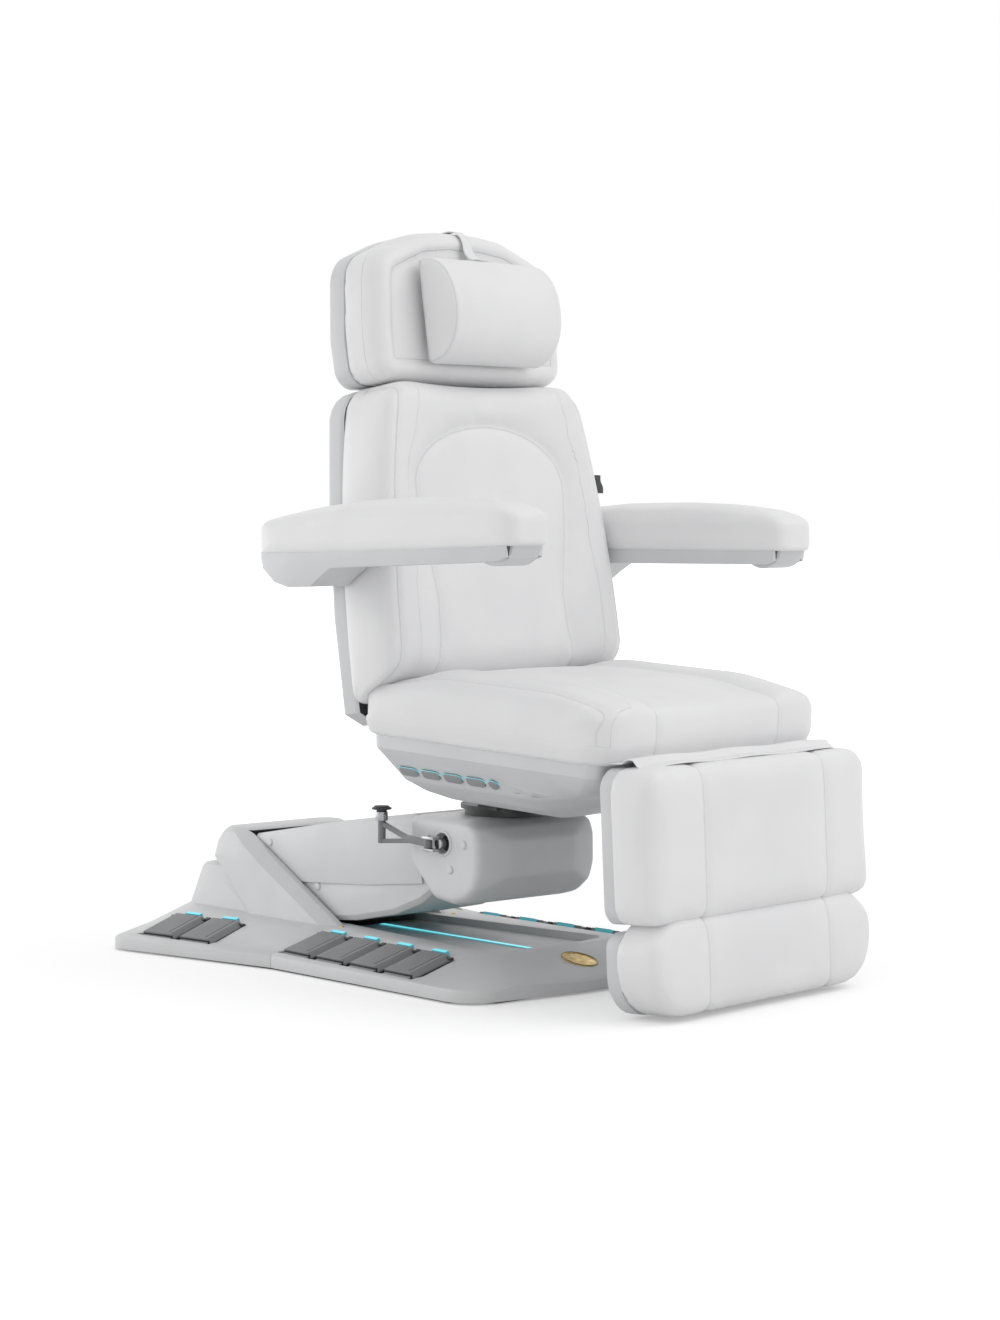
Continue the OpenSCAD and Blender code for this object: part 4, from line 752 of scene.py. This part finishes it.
def cushion(piece, node, body, space, shape=None, seam=no_seam, fixed=None, voxel=0.008,
            swell=0.006, pressure=4.0, groove=0.0035, groove_width=0.009):
    """Finishes a block of foam as a sewn cushion: even mesh, form, swell, seams, then its place."""
    modified(piece, "REMESH", mode="VOXEL", voxel_size=voxel)
    modified(piece, "SMOOTH", factor=0.5, iterations=4)
    if shape:
        move_points(piece, shape(points(piece)))
    place = points(piece)
    held = np.abs(seam(place)) < voxel * 0.75
    if fixed is not None:
        held |= fixed(place)
    stuffed(piece, held, swell, pressure)
    modified(piece, "SUBSURF", levels=1, render_levels=1)
    away = seam(points(piece))
    depth = groove * np.exp(-((away / groove_width) ** 2))
    move_points(piece, points(piece) - normals(piece) * depth[:, None])
    attribute = piece.data.attributes.new("seam", "FLOAT", "POINT")
    attribute.data.foreach_set("value", away.astype(np.float32))
    piece.data.transform(space)
    only(piece)
    bpy.ops.object.shade_smooth()
    finished(piece, white_leatherette, body, "upholstery", node)
    return piece


# ---------------------------------------------------------------- seat cushion
# A broad block of foam with a waterfall front. Its cover has three panels on top and a gusset
# round the sides, and it overhangs the shell a little.
lying = Matrix(((1, 0, 0, 0), (0, 0, 1, 0), (0, -1, 0, 0), (0, 0, 0, 1)))
seat_half, seat_front, seat_rear, seat_thick = 0.322, 0.510, 0.076, 0.110


def seat_form(p):
    x, y, z = p.T.copy()
    up = ease(z, 0.02, seat_thick)
    bolster = 0.013 * np.exp(-(((np.abs(x) - 0.235) / 0.050) ** 2)) * ease(-y, -0.02, 0.08)
    crown = 0.006 * (1 - (x / seat_half) ** 2)
    fall = 0.020 * ease(-y, 0.34, seat_front) + 0.020 * ease(y, -0.12, seat_rear)
    z += up * (crown + bolster - fall)
    waist = ease(z, 0.0, 0.03)
    return np.stack([x * (0.98 + 0.02 * waist), y * (0.985 + 0.015 * waist), z], 1)


def seat_seams(p):
    x, y, z = np.abs(p[:, 0]), p[:, 1], p[:, 2]
    panel = np.where((z > 0.05) | (y < -0.46), x - 0.178, 0.05)
    edge = seat_half - 0.010 - 0.02 * ease(z, 0.05, seat_thick)
    gusset = np.where((z > 0.03) & (y > -0.50), x - edge, 0.05)
    return nearest(panel, gusset)


seat = slab("sewn_seat", around(boxed(seat_half, -seat_front, seat_rear, 0.062, 0.026), 200),
            seat_thick, 0.050, 0.004)
seat.data.transform(lying)
cushion(seat, "seat_cushion", "seat", seat_space, seat_form, seat_seams, lambda p: p[:, 2] < 0.005)

# ---------------------------------------------------------------- back cushion
# A tapering block with an arched centre panel between two bolsters. It leans back with its
# shell, and it thins out at its foot, where the seat cushion meets it.
back_space = turned @ Matrix.Translation((0, 0.075, 0.485)) @ Matrix.Rotation(radians(-8), 4, "X")
back_low, back_high, back_thick = 0.034, 0.623, 0.104


def back_half(z):
    return 0.333 - 0.070 * (np.clip(z, 0, 1) / 0.621) ** 2.6


def arch(x, z):
    """Signed distance to the centre panel's seam, seen from the front."""
    spring, top, reach = 0.425, 0.539, 0.209
    heights = [0.0, 0.086, 0.150, 0.216, 0.275, 0.340, 0.400, spring]
    halves = [0.204, 0.194, 0.182, 0.178, 0.188, 0.202, 0.208, reach]
    legs = x - np.interp(z, heights, halves)
    rise = np.maximum(z - spring, 0)
    size = np.hypot(x / reach, rise / (top - spring))
    slope = np.hypot(x / reach**2, rise / (top - spring) ** 2) / np.maximum(size, 1e-6)
    return np.where(z > spring, (size - 1) / np.maximum(slope, 1e-6), legs)


def back_form(p):
    x, y, z = p.T.copy()
    x *= back_half(z) / 0.326
    z -= 0.009 * np.clip(1 - (x / 0.19) ** 2, 0, 1) * ease(z, 0.45, back_high)
    front = ease(-y, 0.02, 0.08)
    foot = 1 - 0.80 * (1 - ease(z, back_low, 0.120)) ** 2
    away = arch(np.abs(x), z)
    bolster = (0.014 * ease(away, 0.0, 0.036) + 0.010 * ease(away, 0.02, 0.08)) * ease(z, 0.03, 0.14)
    panel = 0.003 * (1 - ease(-away, 0.006, 0.060)) * (away < 0)
    y = y * foot - front * (bolster + panel - 0.005)
    return np.stack([x, y, z], 1)


def back_seams(p):
    x, y, z = np.abs(p[:, 0]), p[:, 1], p[:, 2]
    gusset = np.where(y < -0.028, x - (back_half(z) - 0.020), 0.05)
    return nearest(np.where(y < -0.05, arch(x, z), 0.05), gusset)


backrest = slab("sewn_back", around(boxed(0.326, back_low, back_high, 0.030, 0.052), 220),
                back_thick, 0.042, 0.002)
cushion(backrest, "back_cushion", "back", back_space, back_form, back_seams,
        lambda p: p[:, 1] > -0.004, swell=0.007)

# ---------------------------------------------------------------- woven tab
# A small black tab of woven tape, sewn into the backrest's left seam. It sticks out past the
# bolster and curls a little. It is blank.
bpy.ops.object.select_all(action="DESELECT")
bpy.ops.mesh.primitive_plane_add(size=1)
tab = bpy.context.object
tab.name = "woven_tab"
modified(tab, "SUBSURF", subdivision_type="SIMPLE", levels=4, render_levels=4)
across, up = points(tab)[:, 0] + 0.5, points(tab)[:, 1]
curl = 0.004 * across**2 + 0.0012 * np.sin(9 * up)
move_points(tab, np.stack([0.288 + 0.042 * across - 0.006 * up, -0.098 + curl - 0.004 * across,
                           0.432 + 0.036 * up], 1))
modified(tab, "SOLIDIFY", thickness=0.0018, offset=0)
tab.data.transform(back_space)
only(tab)
bpy.ops.object.shade_smooth_by_angle(angle=radians(40))
finished(tab, dark_plastic_and_painted_shade, "back", "black_parts")

# ---------------------------------------------------------------- headrest
# A cushion that is round above and broad below. A seam 40 mm inside its outline parts the
# padded rim from the front panel, which lies a little deeper.
head_low, head_high, head_rear = 0.626, 0.919, -0.0052
head_circles = [
    (side * x, z, r) for side in (-1, 1)
    for x, z, r in ((0.220, head_low + 0.041, 0.040), (0.204, head_low + 0.092, 0.057),
                    (0.182, head_high - 0.102, 0.066), (0.096, head_high - 0.116, 0.110),
                    (0.046, head_high - 0.022, 0.022))
]
head_rim = around(head_circles, 400)


def rim_depth(x, z):
    """How far points of the front lie inside the headrest's outline."""
    rim = np.array([np.hypot(x - a, z - b) for a, b in head_rim])
    return rim.min(0)


def head_form(p):
    x, y, z = p.T.copy()
    front = ease(-y, 0.03, 0.085)
    sunk = 0.009 * ease(rim_depth(x, z), 0.026, 0.054)
    return np.stack([x, y + front * (sunk - 0.004) + head_rear, z], 1)


headrest = slab("sewn_headrest", around(head_circles, 200), 0.088, 0.036, 0.004)


def rim_seam(p):
    """Signed distance to a seam 40 mm inside the headrest's outline, on its front."""
    inside = rim_depth(p[:, 0], p[:, 2]) - 0.040
    return np.clip(np.where(p[:, 1] < -0.050, inside, 0.05), -0.05, 0.05)


cushion(headrest, "headrest_cushion", "headrest", back_space, head_form, rim_seam,
        lambda p: p[:, 1] > -0.012, swell=0.005, groove=0.0025)

# ---------------------------------------------------------------- neck pillow
# A firm half round bolster with flat sewn ends, which lies against the headrest's front panel
# and hangs from the strap.
sideways = Matrix.Rotation(radians(90), 4, "Z")
pillow_half, pillow_low, pillow_high, pillow_rear = 0.154, 0.656, 0.851, -0.1051
pillow_mid = (pillow_low + pillow_high) / 2
pillow_circles = [
    (pillow_rear - 0.010 - 0.072 * np.cos(a) ** 0.85, pillow_mid + 0.0915 * np.sin(a), 0.008)
    for a in np.linspace(-np.pi / 2, np.pi / 2, 25)
]


def pillow_seams(p):
    return nearest(np.where(p[:, 1] < pillow_rear - 0.006, pillow_half - 0.004 - np.abs(p[:, 0]), 0.05))


pillow = slab("sewn_pillow", around(pillow_circles, 160), 2 * pillow_half, 0.007, 0.007, 4, 0.0)
pillow.data.transform(Matrix.Translation((-pillow_half, 0, 0)) @ sideways)
cushion(pillow, "neck_pillow", "headrest", back_space, None, pillow_seams,
        lambda p: p[:, 1] > pillow_rear - 0.004, voxel=0.005, swell=0.003, groove=0.0015,
        groove_width=0.004)

# ---------------------------------------------------------------- leg rest and footrest
# Two flat pads in line, each sewn from three upright panels. The footrest slides out below
# the leg rest, and its lower corners are well rounded.
leg_space = turned @ Matrix.Translation((0, -0.522, 0.4245)) @ Matrix.Rotation(radians(-3), 4, "X")
leg_half = 0.321


def pad_form(low, high):
    """The form of a pad between two heights: its front is a little hollow inside its edges."""
    def form(p):
        x, y, z = p.T.copy()
        front = ease(-y, 0.02, 0.08)
        crown = (1 - (x / leg_half) ** 4) * (1 - ((z - (low + high) / 2) / (high - low) * 2) ** 4)
        return np.stack([x, y + 0.0023 - front * 0.004 * crown, z], 1)
    return form


def leg_seams(p):
    return nearest(np.where(p[:, 1] < -0.012, np.abs(p[:, 0]) - 0.178, 0.05))


for name, node, body, low, high, low_r, high_r in (
    ("sewn_leg_pad", "leg_cushion", "leg", -0.259, 0.0125, 0.032, 0.042),
    ("sewn_foot_pad", "foot_cushion", "foot", -0.419, -0.271, 0.088, 0.038),
):
    pad = slab(name, around(boxed(leg_half, low, high, low_r, high_r), 200), 0.090, 0.024, 0.004)
    cushion(pad, node, body, leg_space, pad_form(low, high), leg_seams,
            lambda p: p[:, 1] > -0.012, swell=0.003)

# ---------------------------------------------------------------- armrest pads
# Long soft pads on plastic shells, highest in the middle, that fall towards both ends. The
# right one stands 2 degrees higher at its front.
arm_front, arm_rear, arm_wide, arm_z = 0.390, 0.222, 0.102, 0.803


def arm_form(p):
    x, y, z = p.T.copy()
    tall = np.interp(y, [-0.396, -0.35, -0.26, -0.15, 0.0, 0.10, 0.222],
                     [0.058, 0.070, 0.079, 0.083, 0.081, 0.072, 0.056])
    z *= tall / 0.084
    return np.stack([x, y, z], 1)


for side, mirror, tilt in (("right", -1, radians(2)), ("left", 1, 0.0)):
    inner = 0.332 if mirror > 0 else -0.332 - arm_wide
    arm_space = (
        turned @ Matrix.Translation((0, 0.130, 0.772)) @ Matrix.Rotation(-tilt, 4, "X")
        @ Matrix.Translation((inner + arm_wide / 2, -0.130, arm_z - 0.772))
    )
    pad_outline = boxed(arm_wide / 2 + 0.003, -arm_front - 0.016, arm_rear + 0.003, 0.030, 0.024)
    pad = slab(f"sewn_arm_pad_{side}", around(pad_outline, 160), 0.086, 0.030, 0.003)
    pad.data.transform(lying)
    cushion(pad, f"armrest_pad_{side}", f"armrest_{side}", arm_space, arm_form,
            fixed=lambda p: p[:, 2] < 0.004, voxel=0.006, swell=0.003)

# ---------------------------------------------------------------- seat flap
# A leatherette sheet that is sewn under the seat's front edge and covers the leg rest's hinge.
# Its front edge waves a little, and its corners droop over the pad below.
flap = copied("seat_flap")
modified(flap, "REMESH", mode="VOXEL", voxel_size=0.0016)
modified(flap, "SMOOTH", factor=0.5, iterations=3)
flap.data.transform(turned.inverted())
x, y, z = points(flap).T.copy()
end = ease(np.abs(x), 0.225, 0.287) ** 2
z += 0.0012 * np.sin(31 * x + 1.3) * ease(-y, 0.49, 0.52) - 0.010 * end * ease(-y, 0.535, 0.575)
y -= 0.004 * end * ease(-y, 0.55, 0.58)
move_points(flap, np.stack([x, y, z], 1))
flap.data.transform(turned)

# ---------------------------------------------------------------- pillow strap
# A soft leatherette band that goes from the headrest's rear over its top and down to the
# pillow, which hangs on it. It is wider at the pillow.
crest_y, crest_z, crest_radius = -0.061, 0.883, 0.0395
crest = [
    (crest_radius * np.cos(a) + crest_y, crest_radius * np.sin(a) + crest_z)
    for a in np.linspace(np.pi / 2, np.pi, 9)
]
strap_line = np.array(
    [(0.0405, 0.845), (0.0405, 0.900), (0.0385, 0.912), (0.031, 0.9195), (0.018, 0.9225)] + crest
    + [(-0.104, 0.872), (-0.113, 0.8610), (-0.124, 0.8555), (-0.138, 0.8535)]
)
strap_run = np.concatenate([[0], np.cumsum(np.hypot(*np.diff(strap_line, axis=0).T))])
bpy.ops.object.select_all(action="DESELECT")
bpy.ops.mesh.primitive_grid_add(x_subdivisions=8, y_subdivisions=90, size=1)
strap = bpy.context.object
strap.name = "pillow_band"
side, along = points(strap)[:, 0], (points(strap)[:, 1] + 0.5) * strap_run[-1]
half = 0.011 + 0.006 * ease(along, 0.19, strap_run[-1])
y = np.interp(along, strap_run, strap_line[:, 0]) - 0.0015 * (2 * side) ** 2 * ease(along, 0.17, 0.21)
move_points(strap, np.stack([2 * side * half, y, np.interp(along, strap_run, strap_line[:, 1])], 1))
modified(strap, "SMOOTH", factor=0.5, iterations=3)
modified(strap, "SOLIDIFY", thickness=0.0020, offset=0)
strap.data.transform(back_space)

for piece in (flap, strap):
    attribute = piece.data.attributes.new("seam", "FLOAT", "POINT")
    attribute.data.foreach_set("value", np.full(len(piece.data.vertices), 0.05, np.float32))
    only(piece)
    bpy.ops.object.shade_smooth()
finished(strap, white_leatherette, "headrest", "upholstery", "pillow_strap")
flap.data.materials.append(white_leatherette.material)
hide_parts("seat_flap")
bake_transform(flap)
